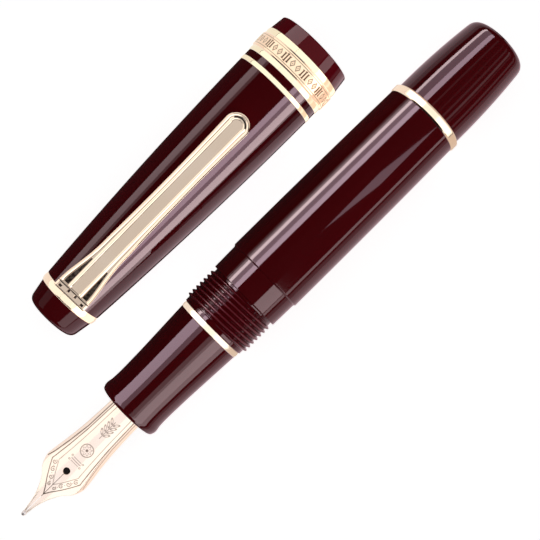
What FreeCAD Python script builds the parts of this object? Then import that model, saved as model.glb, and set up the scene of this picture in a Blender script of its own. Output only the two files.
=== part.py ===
import FreeCAD, Part
import math
import os

import Sketcher

# Fountain pen lying open beside its cap. Millimetres.
# Pen parts are drawn with the nib tip at x = 0 and the tail at x = -130, axis along X.
# Cap parts are drawn with the closed end at x = 0 and the mouth at x = -73.5, axis along X.
# Every sub-part is placed in the shared frame: origin under the middle, table at z = 0.

SIZES = {
    # placement
    "pen_front": 65.0,
    "pen_side": 12.69,
    "pen_height": 8.4,
    "cap_front": 35.16,
    "cap_side": -10.78,
    "cap_height": 7.03,
    "cap_tilt": 1.9,
    "cap_yaw": 0.93,
    "cap_roll": -4.5,
    "zero": 0.0,
    # section
    "section_mouth": 27.9,
    "section_mouth_rad": 6.35,
    "section_lip": 28.9,
    "section_lip_rad": 6.73,
    "section_lip_inner": 29.3,
    "section_waist": 31.4,
    "section_waist_rad": 6.5,
    "section_end": 49.9,
    "section_end_rad": 7.15,
    "section_bore": 5.12,
    "section_socket": 45.0,
    "section_socket_rad": 5.57,
    "ring_end": 51.1,
    "ring_rad": 7.15,
    "ring_curve": 1.6,
    # threaded insert that joins section and barrel
    "insert_start": 45.05,
    "insert_end": 58.0,
    "insert_rad": 5.55,
    "insert_crest": 6.30,
    # nib housing and its nipple
    "housing_start": 28.6,
    "housing_floor": 46.0,
    "housing_back": 48.5,
    "housing_rad": 5.08,
    "housing_bore": 3.93,
    "nipple_end": 55.0,
    "nipple_rad": 2.2,
    "channel_rad": 0.8,
    # nib
    "nib_thick": 0.48,
    "hole_at": 12.2,
    "hole_rad": 0.75,
    "slit_width": 0.12,
    "slit_front": 0.9,
    "ball_length": 0.9,
    "ball_rad": 0.42,
    "ball_height": 1.98,
    "ball_curve": 0.56,
    # feed
    "feed_back": 44.0,
    "feed_rad": 3.3,
    "feed_blend": 20.0,
    "fin_first": 13.4,
    "fin_step": 1.1,
    "fin_gap": 0.42,
    "fin_count": 12.0,
    "fin_height": -1.0,
    # barrel
    "barrel_mouth": 51.13,
    "barrel_mouth_rad": 7.35,
    "thread_start": 52.1,
    "thread_end": 59.1,
    "thread_crest": 7.95,
    "collar_start": 59.7,
    "collar_rad": 8.1,
    "barrel_step": 65.3,
    "barrel_edge": 65.45,
    "barrel_edge_rad": 8.25,
    "barrel_rad": 8.4,
    "barrel_straight": 78.0,
    "barrel_back": 108.35,
    "barrel_back_rad": 8.15,
    "barrel_thread_bore": 6.33,
    "barrel_thread_back": 60.0,
    "barrel_bore": 5.3,
    "barrel_floor": 106.0,
    "spigot_rad": 5.0,
    "spigot_end": 116.0,
    # barrel ring, bevelled both sides
    "bring_start": 108.4,
    "bring_rise": 108.75,
    "bring_fall": 109.9,
    "bring_end": 110.25,
    "bring_rad": 8.1,
    "bring_crest": 8.36,
    "bring_tail_rad": 7.9,
    "bring_bore": 5.06,
    # tail
    "tail_start": 110.3,
    "tail_rad": 7.8,
    "tail_shoulder": 128.1,
    "tail_shoulder_rad": 6.92,
    "tail_curve": 190.0,
    "tail_end": 130.0,
    "tail_flat_rad": 5.1,
    "tail_round": 1.95,
    "tail_socket": 116.2,
    "tail_socket_rad": 5.02,
    # screw grooves: where they run, half width and radius at the open side, root radius, lead
    "cap_screw_groove_start": 51.75,
    "cap_screw_groove_stop": 59.25,
    "cap_screw_groove_half": 0.42,
    "cap_screw_groove_open": 8.0,
    "cap_screw_groove_root": 7.42,
    "cap_screw_groove_lead": 2.0,
    "cap_nut_groove_start": 60.0,
    "cap_nut_groove_stop": 68.1,
    "cap_nut_groove_half": 0.42,
    "cap_nut_groove_open": 7.58,
    "cap_nut_groove_root": 8.05,
    "cap_nut_groove_lead": 2.0,
    "insert_groove_start": 51.75,
    "insert_groove_stop": 58.4,
    "insert_groove_half": 0.3,
    "insert_groove_open": 6.35,
    "insert_groove_root": 5.98,
    "insert_groove_lead": 1.0,
    "barrel_nut_groove_start": 50.7,
    "barrel_nut_groove_stop": 58.6,
    "barrel_nut_groove_half": 0.3,
    "barrel_nut_groove_open": 6.28,
    "barrel_nut_groove_root": 6.65,
    "barrel_nut_groove_lead": 1.0,
    # converter
    "conv_start": 49.2,
    "conv_mouth_bore": 2.25,
    "conv_mouth_step": 55.5,
    "conv_mouth_end": 58.0,
    "conv_mouth_rad": 3.75,
    "tube_end": 81.5,
    "tube_rad": 3.5,
    "tube_bore": 2.92,
    "tube_socket": 3.52,
    "collar_front": 79.0,
    "collar_back": 88.0,
    "conv_collar_rad": 3.85,
    "collar_groove_rad": 3.55,
    "rod_bore": 1.25,
    "journal_bore": 2.46,
    "journal_front": 83.9,
    "journal_rad": 2.4,
    "knob_start": 88.06,
    "knob_end": 99.0,
    "knob_rad": 3.6,
    "knob_edge": 0.5,
    "knob_floor": 98.2,
    "knob_bore": 1.22,
    "rod_start": 61.5,
    "rod_end": 86.0,
    "rod_rad": 1.15,
    "seal_start": 60.0,
    "seal_end": 63.6,
    "seal_rad": 2.86,
    "seal_waist": 2.5,
    "seal_lip": 0.8,
    "seal_socket": 1.17,
    # cap, distances from its closed end
    "finial_flat_rad": 4.3,
    "finial_round": 1.9,
    "finial_shoulder": 1.7,
    "finial_shoulder_rad": 5.8,
    "finial_end": 4.68,
    "finial_end_rad": 6.35,
    "finial_cavity": 1.45,
    "finial_bore": 4.45,
    "clipring_start": 4.72,
    "clipring_end": 6.28,
    "clipring_rad": 6.55,
    "clipring_dome": 2.2,
    "clipring_bore": 4.5,
    "neck_start": 1.6,
    "neck_rad": 4.4,
    "neck_floor": 2.9,
    "neck_bore": 3.56,
    "neck_bore_end": 6.6,
    "cap_start": 6.33,
    "cap_start_rad": 6.6,
    "cap_tube_end": 62.04,
    "cap_end_rad": 8.85,
    "cap_curve": 930.0,
    "cap_cone_end": 16.0,
    "cap_front_bore": 6.4,
    "cap_inner_step": 36.2,
    "cap_mid_bore": 7.45,
    "cap_thread_start": 60.3,
    "cap_thread_end": 67.8,
    "cap_thread_crest": 7.65,
    "cap_mouth_bore": 8.15,
    "cap_spigot_rad": 8.5,
    "cap_spigot_end": 71.5,
    "sleeve_bore": 8.52,
    "thin_end": 62.98,
    "thin_crest": 8.98,
    "trim_curve": 2.6,
    "spacer_end": 64.48,
    "rim_end": 65.55,
    "band_end": 68.95,
    "band_rad": 9.2,
    "band_edge": 0.25,
    "liprim_end": 70.2,
    "rim_rad": 9.0,
    "lip_rad": 8.82,
    "lip_shoulder": 73.2,
    "lip_end": 73.5,
    "lip_end_rad": 8.44,
    "lip_face_rad": 8.34,
    # inner cap
    "liner_start": 3.1,
    "liner_nose_rad": 3.5,
    "liner_nose_end": 6.5,
    "liner_cone_end": 15.9,
    "liner_rad": 6.35,
    "liner_end": 36.1,
    "liner_nose_floor": 3.9,
    "liner_nose_bore": 2.8,
    "liner_inner_start": 6.2,
    "liner_inner_end": 15.6,
    "liner_bore": 5.65,
    # clip
    "clip_start": 6.35,
    "clip_width": 7.5,
    "clip_low": 5.6,
    "clip_base_end": 8.6,
    "clip_top_start": 8.2,
    "clip_arm_start": 13.0,
    "clip_arm_low": 8.15,
    "clip_top_end": 51.4,
    "clip_top_high": 10.75,
    "clip_arch": 240.0,
    "clip_under_end": 47.5,
    "clip_under_high": 9.6,
    "clip_under_arch": 300.0,
    "clip_foot_front": 49.3,
    "clip_foot_back": 52.0,
    "clip_foot_low": 8.95,
    "clip_tip": 54.0,
    "clip_tip_low": 9.6,
    "clip_tip_high": 10.1,
    "clip_clear_front": 6.9,
    "clip_clear_back": 7.35,
    "clip_neck_half": 2.65,
    "clip_neck_at": 18.5,
    "clip_base_half": 3.75,
    "clip_base_flat": 8.0,
    "clip_waist_half": 2.4,
    "clip_waist_at": 38.0,
    "clip_end_half": 2.58,
    "clip_end_at": 51.42,
    "clip_flare": 28.0,
    "clip_side_curve": 900.0,
    "clip_cut": 60.0,
    "clip_panel": 2.1,
}

PLANES = {
    "XY": "XY_Plane",
    "XZ": "XZ_Plane",
}


class Size:
    """A number from the sheet, or a sum of such numbers, with the expression that gives it."""

    def __init__(self, text, value):
        self.text = text
        self.value = value

    def __add__(self, other):
        return Size(f"{self.text} + {other.text}", self.value + other.value)

    def __sub__(self, other):
        return Size(f"{self.text} - ({other.text})", self.value - other.value)

    def __neg__(self):
        return Size(f"-({self.text})", -self.value)


def dim(alias):
    """The size that the sheet holds under this alias."""
    return Size(f"Dimensions.{alias}", SIZES[alias])


def num(alias):
    """The plain value that the sheet holds under this alias."""
    return float(sheet.get(alias))


doc = FreeCAD.newDocument("fountain_pen")
sheet = doc.addObject("Spreadsheet::Sheet", "Dimensions")
for row, (alias, value) in enumerate(SIZES.items(), start=1):
    sheet.set(f"A{row}", alias)
    sheet.set(f"B{row}", str(value))
    sheet.setAlias(f"B{row}", alias)
doc.recompute()

parts = []


def place(item, group):
    """Put a finished sub-part where its assembly lies on the table."""
    if group == "cap":
        item.setExpression(
            "Placement",
            "placement(vector(Dimensions.cap_front; Dimensions.cap_side; Dimensions.cap_height); "
            "rotation(Dimensions.cap_yaw; Dimensions.cap_tilt; Dimensions.cap_roll))",
        )
    else:
        item.setExpression("Placement.Base.x", f"Dimensions.{group}_front")
        item.setExpression("Placement.Base.y", f"Dimensions.{group}_side")
        item.setExpression("Placement.Base.z", f"Dimensions.{group}_height")
    parts.append(item)


def new_body(label):
    """An empty body with its own label."""
    body = doc.addObject("PartDesign::Body", label)
    body.Label = label
    return body


def new_sketch(body, name, plane="XY"):
    """A sketch flat on one of the body's own origin planes."""
    sketch = body.newObject("Sketcher::SketchObject", name)
    role = PLANES[plane]
    support = [f for f in body.Origin.OriginFeatures if f.Role == role][0]
    sketch.AttachmentSupport = (support, [""])
    sketch.MapMode = "FlatFace"
    return sketch


def bind(sketch, kind, target, size):
    """Add one driving constraint and bind it to the sheet."""
    index = sketch.addConstraint(Sketcher.Constraint(kind, *target, size.value))
    sketch.setExpression(f"Constraints[{index}]", size.text)


def pin_point(sketch, geometry, end, across, up):
    """Hold one sketch point at its two distances from the origin."""
    if abs(across.value) < 1e-9:
        sketch.addConstraint(Sketcher.Constraint("PointOnObject", geometry, end, -2))
    else:
        bind(sketch, "DistanceX", (-1, 1, geometry, end), across)
    if abs(up.value) < 1e-9:
        sketch.addConstraint(Sketcher.Constraint("PointOnObject", geometry, end, -1))
    else:
        bind(sketch, "DistanceY", (-1, 1, geometry, end), up)


def arc_between(a, b, radius, side):
    """The short arc from a to b whose centre lies left (side 1) or right (side -1) of the way."""
    dx = b[0] - a[0]
    dy = b[1] - a[1]
    length = math.hypot(dx, dy)
    reach = math.sqrt(max(radius * radius - length * length / 4, 0))
    cx = (a[0] + b[0]) / 2 - side * reach * dy / length
    cy = (a[1] + b[1]) / 2 + side * reach * dx / length
    first, last = (a, b) if side > 0 else (b, a)
    start = math.atan2(first[1] - cy, first[0] - cx)
    stop = math.atan2(last[1] - cy, last[0] - cx)
    if stop < start:
        stop += 2 * math.pi
    circle = Part.Circle(FreeCAD.Vector(cx, cy, 0), FreeCAD.Vector(0, 0, 1), radius)
    return Part.ArcOfCircle(circle, start, stop)


def draw_loop(sketch, points):
    """Draw a closed loop. A point is (distance, height) or (distance, height, radius, side).

    Distances run from the reference end toward -X, as the sheet gives them. A radius and side
    make the edge that leaves the point an arc.
    """
    base = sketch.GeometryCount
    count = len(points)
    flat = [(-p[0].value, p[1].value) for p in points]
    heads = []
    tails = []
    for i, point in enumerate(points):
        a = flat[i]
        b = flat[(i + 1) % count]
        if len(point) == 4:
            sketch.addGeometry(arc_between(a, b, point[2].value, point[3]), False)
            heads.append(1 if point[3] > 0 else 2)
            tails.append(2 if point[3] > 0 else 1)
        else:
            sketch.addGeometry(
                Part.LineSegment(FreeCAD.Vector(*a, 0), FreeCAD.Vector(*b, 0)), False
            )
            heads.append(1)
            tails.append(2)
    for i in range(count):
        j = (i + 1) % count
        sketch.addConstraint(
            Sketcher.Constraint("Coincident", base + i, tails[i], base + j, heads[j])
        )
    for i, point in enumerate(points):
        pin_point(sketch, base + i, heads[i], -point[0], point[1])
        if len(point) == 4:
            bind(sketch, "Radius", (base + i,), point[2])


def path(*steps):
    """Profile points from alias pairs, with optional arc aliases and sides."""
    points = []
    for step in steps:
        across = dim(step[0]) if isinstance(step[0], str) else step[0]
        up = dim(step[1]) if isinstance(step[1], str) else step[1]
        if len(step) == 4:
            points.append((across, up, dim(step[2]), step[3]))
        else:
            points.append((across, up))
    return points


def turned(label, group, *steps):
    """A body turned about the X axis from one closed profile."""
    body = new_body(label)
    sketch = new_sketch(body, f"{label}_profile")
    draw_loop(sketch, path(*steps))
    turn = body.newObject("PartDesign::Revolution", f"{label}_turn")
    turn.Profile = sketch
    turn.ReferenceAxis = (sketch, ["H_Axis"])
    turn.Angle = 360.0
    sketch.Visibility = False
    place(body, group)
    return body


def thread_groove(body, name, thread, starts=1):
    """Cut screw grooves. The sheet's groove_* sizes give where, how deep and how steep."""
    first = dim(f"{thread}_groove_start")
    last = dim(f"{thread}_groove_stop")
    half = dim(f"{thread}_groove_half")
    open_rad = dim(f"{thread}_groove_open")
    root = dim(f"{thread}_groove_root")
    sketch = new_sketch(body, f"{name}_profile", "XZ")
    draw_loop(sketch, (
        (first - half, open_rad),
        (first, root),
        (first + half, open_rad),
    ))
    helix = body.newObject("PartDesign::SubtractiveHelix", name)
    helix.Profile = sketch
    helix.ReferenceAxis = (sketch, ["H_Axis"])
    helix.Mode = 0
    helix.setExpression("Pitch", f"Dimensions.{thread}_groove_lead")
    helix.setExpression("Height", (last - first).text)
    helix.Angle = 0
    helix.Reversed = True
    helix.Refine = False
    sketch.Visibility = False
    if starts > 1:
        ring = body.newObject("PartDesign::PolarPattern", f"{name}_starts")
        ring.Originals = [helix]
        ring.Axis = (sketch, ["H_Axis"])
        ring.Angle = 360.0
        ring.Occurrences = starts
        ring.Refine = False
        body.Tip = ring


# ---- section, its trim and the threaded insert ----
grip_section = turned(
    "grip_section", "pen",
    ("section_mouth", "section_bore"),
    ("section_mouth", "section_mouth_rad"),
    ("section_lip", "section_lip_rad"),
    ("section_lip_inner", "section_lip_rad"),
    ("section_waist", "section_waist_rad"),
    ("section_end", "section_end_rad"),
    ("section_end", "section_socket_rad"),
    ("section_socket", "section_socket_rad"),
    ("section_socket", "section_bore"),
)
section_ring = turned(
    "section_ring", "pen",
    ("section_end", "section_socket_rad"),
    ("section_end", "ring_rad", "ring_curve", 1),
    ("ring_end", "ring_rad"),
    ("ring_end", "section_socket_rad"),
)
section_insert = turned(
    "section_insert", "pen",
    ("insert_start", "section_bore"),
    ("insert_start", "insert_rad"),
    ("ring_end", "insert_rad"),
    ("ring_end", "insert_crest"),
    ("insert_end", "insert_crest"),
    ("insert_end", "section_bore"),
)
thread_groove(section_insert, "insert_screw", "insert")

# ---- housing, nib and feed ----
nib_housing = turned(
    "nib_housing", "pen",
    ("housing_start", "housing_bore"),
    ("housing_start", "housing_rad"),
    ("housing_back", "housing_rad"),
    ("housing_back", "nipple_rad"),
    ("nipple_end", "nipple_rad"),
    ("nipple_end", "channel_rad"),
    ("housing_floor", "channel_rad"),
    ("housing_floor", "housing_bore"),
)

# Nib stations: distance from the tip, half width, outer bend radius, height of the top line.
NIB_STATIONS = (
    (44.0, 3.74, 3.9, 3.9),
    (36.0, 3.74, 3.9, 3.9),
    (28.0, 3.74, 3.9, 3.9),
    (21.0, 4.0, 4.22, 3.9),
    (16.4, 4.45, 4.95, 3.86),
    (13.6, 4.86, 5.7, 3.79),
    (11.7, 5.03, 6.2, 3.7),
    (10.6, 4.78, 6.3, 3.63),
    (9.4, 4.15, 6.2, 3.54),
    (8.2, 2.9, 6.0, 3.42),
    (7.0, 2.12, 5.6, 3.28),
    (4.7, 1.15, 4.2, 2.92),
    (2.4, 0.66, 3.0, 2.5),
    (0.92, 0.42, 2.2, 2.2),
)


def nib_wire(at, half, bend, top):
    """Closed cross-section of the nib blank: two bent faces and two edges."""
    thick = num("nib_thick")
    spread = math.asin(half / bend)
    centre = top - bend

    def spot(radius, angle):
        return FreeCAD.Vector(-at, radius * math.sin(angle), centre + radius * math.cos(angle))

    inner = bend - thick
    outer_arc = Part.Arc(spot(bend, -spread), spot(bend, 0), spot(bend, spread))
    inner_arc = Part.Arc(spot(inner, spread), spot(inner, 0), spot(inner, -spread))
    edges = (
        outer_arc.toShape(),
        Part.makeLine(spot(bend, spread), spot(inner, spread)),
        inner_arc.toShape(),
        Part.makeLine(spot(inner, -spread), spot(bend, -spread)),
    )
    return Part.Wire(edges)


blank = Part.makeLoft([nib_wire(*station) for station in NIB_STATIONS], True, True)
hole = Part.makeCylinder(
    num("hole_rad"), 8, FreeCAD.Vector(-num("hole_at"), 0, 0), FreeCAD.Vector(0, 0, 1)
)
slit = Part.makeBox(
    num("hole_at") - num("slit_front"),
    num("slit_width"),
    8,
    FreeCAD.Vector(-num("hole_at"), -num("slit_width") / 2, 0),
)
nib = doc.addObject("Part::Feature", "nib")
nib.Label = "nib"
nib.Shape = blank.cut(hole).cut(slit)
place(nib, "pen")

nib_tipping = turned(
    "nib_tipping", "pen",
    ("zero", "zero", "ball_curve", 1),
    ("ball_length", "ball_rad"),
    ("ball_length", "zero"),
)
nib_tipping.setExpression("Placement.Base.z", "Dimensions.pen_height + Dimensions.ball_height")

# Feed stations: distance from the tip, radius, height of the centre.
FEED_STATIONS = (
    (5.2, 0.55, 1.88),
    (7.0, 1.15, 1.5),
    (10.0, 2.2, 0.72),
    (14.0, 3.05, 0.08),
    (20.0, 3.3, 0.0),
)


def feed_ring(at, radius, height):
    """One round cross-section of the feed."""
    return Part.Wire(
        Part.makeCircle(radius, FreeCAD.Vector(-at, 0, height), FreeCAD.Vector(1, 0, 0))
    )


snout = Part.makeLoft([feed_ring(*station) for station in FEED_STATIONS], True, False)
stem = Part.makeCylinder(
    num("feed_rad"),
    num("feed_back") - num("feed_blend"),
    FreeCAD.Vector(-num("feed_back"), 0, 0),
    FreeCAD.Vector(1, 0, 0),
)
feed_shape = snout.fuse(stem)
for i in range(int(num("fin_count"))):
    slot_back = num("fin_first") + i * num("fin_step") + num("fin_gap")
    slot = Part.makeBox(
        num("fin_gap"), 10, 6, FreeCAD.Vector(-slot_back, -5, num("fin_height") - 6)
    )
    feed_shape = feed_shape.cut(slot)
feed = doc.addObject("Part::Feature", "feed")
feed.Label = "feed"
feed.Shape = feed_shape
place(feed, "pen")

# ---- barrel ----
barrel = turned(
    "barrel", "pen",
    ("barrel_mouth", "barrel_thread_bore"),
    ("barrel_mouth", "barrel_mouth_rad"),
    ("thread_start", "barrel_mouth_rad"),
    ("thread_start", "thread_crest"),
    ("thread_end", "thread_crest"),
    ("thread_end", "barrel_mouth_rad"),
    ("collar_start", "barrel_mouth_rad"),
    ("collar_start", "collar_rad"),
    ("barrel_step", "collar_rad"),
    ("barrel_step", "barrel_edge_rad"),
    ("barrel_edge", "barrel_rad"),
    ("barrel_straight", "barrel_rad"),
    ("barrel_back", "barrel_back_rad"),
    ("barrel_back", "spigot_rad"),
    ("spigot_end", "spigot_rad"),
    ("spigot_end", "zero"),
    ("barrel_floor", "zero"),
    ("barrel_floor", "barrel_bore"),
    ("barrel_thread_back", "barrel_bore"),
    ("barrel_thread_back", "barrel_thread_bore"),
)
thread_groove(barrel, "cap_screw", "cap_screw", starts=2)
thread_groove(barrel, "section_nut", "barrel_nut")
barrel_ring = turned(
    "barrel_ring", "pen",
    ("bring_start", "bring_bore"),
    ("bring_start", "bring_rad"),
    ("bring_rise", "bring_crest"),
    ("bring_fall", "bring_crest"),
    ("bring_end", "bring_tail_rad"),
    ("bring_end", "bring_bore"),
)
barrel_tail = turned(
    "barrel_tail", "pen",
    ("tail_start", "tail_socket_rad"),
    ("tail_start", "tail_rad", "tail_curve", 1),
    ("tail_shoulder", "tail_shoulder_rad", "tail_round", 1),
    ("tail_end", "tail_flat_rad"),
    ("tail_end", "zero"),
    ("tail_socket", "zero"),
    ("tail_socket", "tail_socket_rad"),
)

# ---- converter ----
converter_mouth = turned(
    "converter_mouth", "pen",
    ("conv_start", "conv_mouth_bore"),
    ("conv_start", "conv_mouth_rad"),
    ("conv_mouth_end", "conv_mouth_rad"),
    ("conv_mouth_end", "tube_socket"),
    ("conv_mouth_step", "tube_socket"),
    ("conv_mouth_step", "conv_mouth_bore"),
)
converter_tube = turned(
    "converter_tube", "pen",
    ("conv_mouth_step", "tube_bore"),
    ("conv_mouth_step", "tube_rad"),
    ("tube_end", "tube_rad"),
    ("tube_end", "tube_bore"),
)
converter_collar = turned(
    "converter_collar", "pen",
    ("collar_front", "tube_socket"),
    ("collar_front", "conv_collar_rad"),
    ("collar_back", "conv_collar_rad"),
    ("collar_back", "journal_bore"),
    (dim("journal_front") - Size("0.1", 0.1), "journal_bore"),
    (dim("journal_front") - Size("0.1", 0.1), "rod_bore"),
    ("tube_end", "rod_bore"),
    ("tube_end", "tube_socket"),
)
converter_knob = turned(
    "converter_knob", "pen",
    ("journal_front", "knob_bore"),
    ("journal_front", "journal_rad"),
    ("knob_start", "journal_rad"),
    ("knob_start", "knob_rad"),
    (dim("knob_end") - dim("knob_edge"), "knob_rad"),
    ("knob_end", dim("knob_rad") - dim("knob_edge")),
    ("knob_end", "zero"),
    ("knob_floor", "zero"),
    ("knob_floor", "knob_bore"),
)
piston_rod = turned(
    "piston_rod", "pen",
    ("rod_start", "zero"),
    ("rod_start", "rod_rad"),
    ("rod_end", "rod_rad"),
    ("rod_end", "zero"),
)
piston_seal = turned(
    "piston_seal", "pen",
    ("seal_start", "zero"),
    ("seal_start", "seal_rad"),
    (dim("seal_start") + dim("seal_lip"), "seal_rad"),
    (dim("seal_start") + dim("seal_lip"), "seal_waist"),
    (dim("seal_end") - dim("seal_lip"), "seal_waist"),
    (dim("seal_end") - dim("seal_lip"), "seal_rad"),
    ("seal_end", "seal_rad"),
    ("seal_end", "seal_socket"),
    ("rod_start", "seal_socket"),
    ("rod_start", "zero"),
)

# ---- cap ----
cap_finial = turned(
    "cap_finial", "cap",
    ("zero", "zero"),
    ("zero", "finial_flat_rad", "finial_round", 1),
    ("finial_shoulder", "finial_shoulder_rad"),
    ("finial_end", "finial_end_rad"),
    ("finial_end", "finial_bore"),
    ("finial_cavity", "finial_bore"),
    ("finial_cavity", "zero"),
)
clip_ring = turned(
    "clip_ring", "cap",
    ("clipring_start", "clipring_bore"),
    ("clipring_start", "clipring_rad", "clipring_dome", 1),
    ("clipring_end", "clipring_rad"),
    ("clipring_end", "clipring_bore"),
)
cap_tube = turned(
    "cap_tube", "cap",
    ("neck_start", "zero"),
    ("neck_start", "neck_rad"),
    ("cap_start", "neck_rad"),
    ("cap_start", "cap_start_rad", "cap_curve", 1),
    ("cap_tube_end", "cap_end_rad"),
    ("cap_tube_end", "cap_spigot_rad"),
    ("cap_spigot_end", "cap_spigot_rad"),
    ("cap_spigot_end", "cap_mouth_bore"),
    ("cap_thread_end", "cap_mouth_bore"),
    ("cap_thread_end", "cap_thread_crest"),
    ("cap_thread_start", "cap_thread_crest"),
    ("cap_thread_start", "cap_mid_bore"),
    ("cap_inner_step", "cap_mid_bore"),
    ("cap_inner_step", "cap_front_bore"),
    ("cap_cone_end", "cap_front_bore"),
    ("neck_bore_end", "neck_bore"),
    ("neck_floor", "neck_bore"),
    ("neck_floor", "zero"),
)
thread_groove(cap_tube, "cap_nut", "cap_nut", starts=2)
inner_cap = turned(
    "inner_cap", "cap",
    ("liner_start", "zero"),
    ("liner_start", "liner_nose_rad"),
    ("liner_nose_end", "liner_nose_rad"),
    ("liner_cone_end", "liner_rad"),
    ("liner_end", "liner_rad"),
    ("liner_end", "liner_bore"),
    ("liner_inner_end", "liner_bore"),
    ("liner_inner_start", "liner_nose_bore"),
    ("liner_nose_floor", "liner_nose_bore"),
    ("liner_nose_floor", "zero"),
)


def trim_ring(label, start, stop, radius, curve):
    """A trim ring with a domed rim that slides over the cap's mouth end."""
    return turned(
        label, "cap",
        (start, "sleeve_bore"),
        (start, radius, curve, 1),
        (stop, radius),
        (stop, "sleeve_bore"),
    )


cap_thin_ring = trim_ring("cap_thin_ring", "cap_tube_end", "thin_end", "thin_crest", "trim_curve")
cap_spacer = turned(
    "cap_spacer", "cap",
    ("thin_end", "sleeve_bore"),
    ("thin_end", "cap_end_rad"),
    ("spacer_end", "cap_end_rad"),
    ("spacer_end", "sleeve_bore"),
)
cap_rim_body = trim_ring("cap_rim_body", "spacer_end", "rim_end", "rim_rad", "trim_curve")
cap_band = turned(
    "cap_band", "cap",
    ("rim_end", "sleeve_bore"),
    ("rim_end", dim("band_rad") - dim("band_edge")),
    (dim("rim_end") + dim("band_edge"), "band_rad"),
    (dim("band_end") - dim("band_edge"), "band_rad"),
    ("band_end", dim("band_rad") - dim("band_edge")),
    ("band_end", "sleeve_bore"),
)
cap_rim_lip = trim_ring("cap_rim_lip", "band_end", "liprim_end", "rim_rad", "trim_curve")
cap_lip = turned(
    "cap_lip", "cap",
    ("liprim_end", "sleeve_bore"),
    ("liprim_end", "lip_rad"),
    ("lip_shoulder", "lip_end_rad"),
    ("lip_end", "lip_face_rad"),
    ("lip_end", "cap_mouth_bore"),
    ("cap_spigot_end", "cap_mouth_bore"),
    ("cap_spigot_end", "sleeve_bore"),
)

# ---- clip ----
clip = new_body("clip")
side = new_sketch(clip, "clip_side", "XZ")
draw_loop(side, path(
    ("clip_start", "clip_low"),
    ("clip_start", "clip_top_start", "clip_arch", 1),
    ("clip_top_end", "clip_top_high"),
    ("clip_tip", "clip_tip_high"),
    ("clip_tip", "clip_tip_low"),
    ("clip_foot_back", "clip_foot_low"),
    ("clip_foot_front", "clip_foot_low"),
    ("clip_under_end", "clip_under_high", "clip_under_arch", -1),
    ("clip_arm_start", "clip_arm_low"),
    ("clip_base_end", "clip_low"),
))
blade = clip.newObject("PartDesign::Pad", "clip_blade")
blade.Profile = side
blade.setExpression("Length", "Dimensions.clip_width")
blade.Midplane = True
side.Visibility = False

plan = new_sketch(clip, "clip_plan", "XY")
half = {name: dim(name) for name in ("clip_base_half", "clip_neck_half", "clip_waist_half",
                                     "clip_end_half")}
draw_loop(plan, path(
    ("clip_start", half["clip_base_half"]),
    ("clip_base_flat", half["clip_base_half"], "clip_flare", -1),
    ("clip_neck_at", half["clip_neck_half"], "clip_side_curve", -1),
    ("clip_waist_at", half["clip_waist_half"], "clip_side_curve", -1),
    ("clip_end_at", half["clip_end_half"], "clip_end_half", 1),
    ("clip_tip", "zero", "clip_end_half", 1),
    ("clip_end_at", -half["clip_end_half"], "clip_side_curve", -1),
    ("clip_waist_at", -half["clip_waist_half"], "clip_side_curve", -1),
    ("clip_neck_at", -half["clip_neck_half"], "clip_flare", -1),
    ("clip_base_flat", -half["clip_base_half"]),
    ("clip_start", -half["clip_base_half"]),
))
cut_edge = (dim("clip_start") - dim("clip_panel"), dim("clip_cut"))
draw_loop(plan, (
    (cut_edge[0], dim("clip_width")),
    (cut_edge[1], dim("clip_width")),
    (cut_edge[1], -dim("clip_width")),
    (cut_edge[0], -dim("clip_width")),
))
trim = clip.newObject("PartDesign::Pocket", "clip_trim")
trim.Profile = plan
trim.Type = 1
trim.Midplane = True
plan.Visibility = False

saddle = new_sketch(clip, "clip_saddle", "XY")
draw_loop(saddle, path(
    (cut_edge[0], "zero"),
    (cut_edge[0], "clip_clear_front"),
    ("clip_arm_start", "clip_clear_back"),
    ("clip_arm_start", "zero"),
))
scoop = clip.newObject("PartDesign::Groove", "clip_scoop")
scoop.Profile = saddle
scoop.ReferenceAxis = (saddle, ["H_Axis"])
scoop.Angle = 360.0
saddle.Visibility = False
place(clip, "cap")

doc.recompute()

os.makedirs("parts", exist_ok=True)
problems = []
for item in doc.Objects:
    if any(word in item.State for word in ("Invalid", "Error")):
        problems.append(f"{item.Name}: {item.State} {item.getStatusString()}")
for item in parts:
    if item.Shape.isNull() or not item.Shape.isValid():
        problems.append(f"{item.Label}: shape is not valid")
    else:
        box = item.Shape.optimalBoundingBox()
        print(
            f"{item.Label}: {len(item.Shape.Solids)} solid, {item.Shape.Volume:.1f} mm3, "
            f"x {box.XMin:.2f} {box.XMax:.2f} y {box.YMin:.2f} {box.YMax:.2f} "
            f"z {box.ZMin:.2f} {box.ZMax:.2f}"
        )
if problems:
    raise RuntimeError("; ".join(problems))
for item in parts:
    item.Shape.exportStep(f"parts/{item.Label}.step")
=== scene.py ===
"""A fountain pen lying open beside its cap: visible surfaces, finishes, floor, lights and camera.

Every new surface is worked out with numpy in millimetres along an item's own axis and then carried
into the shared frame in metres; imported solids that are kept only get a finish. Distances run
from the nib's tip towards the tail on the pen, and from the closed end towards the mouth on the
cap.
"""

import logging
import math
from dataclasses import dataclass, field
from enum import Enum
from functools import reduce
from typing import Callable, Optional, Sequence

import bpy
import numpy as np
from mathutils import Matrix, Vector


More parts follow.
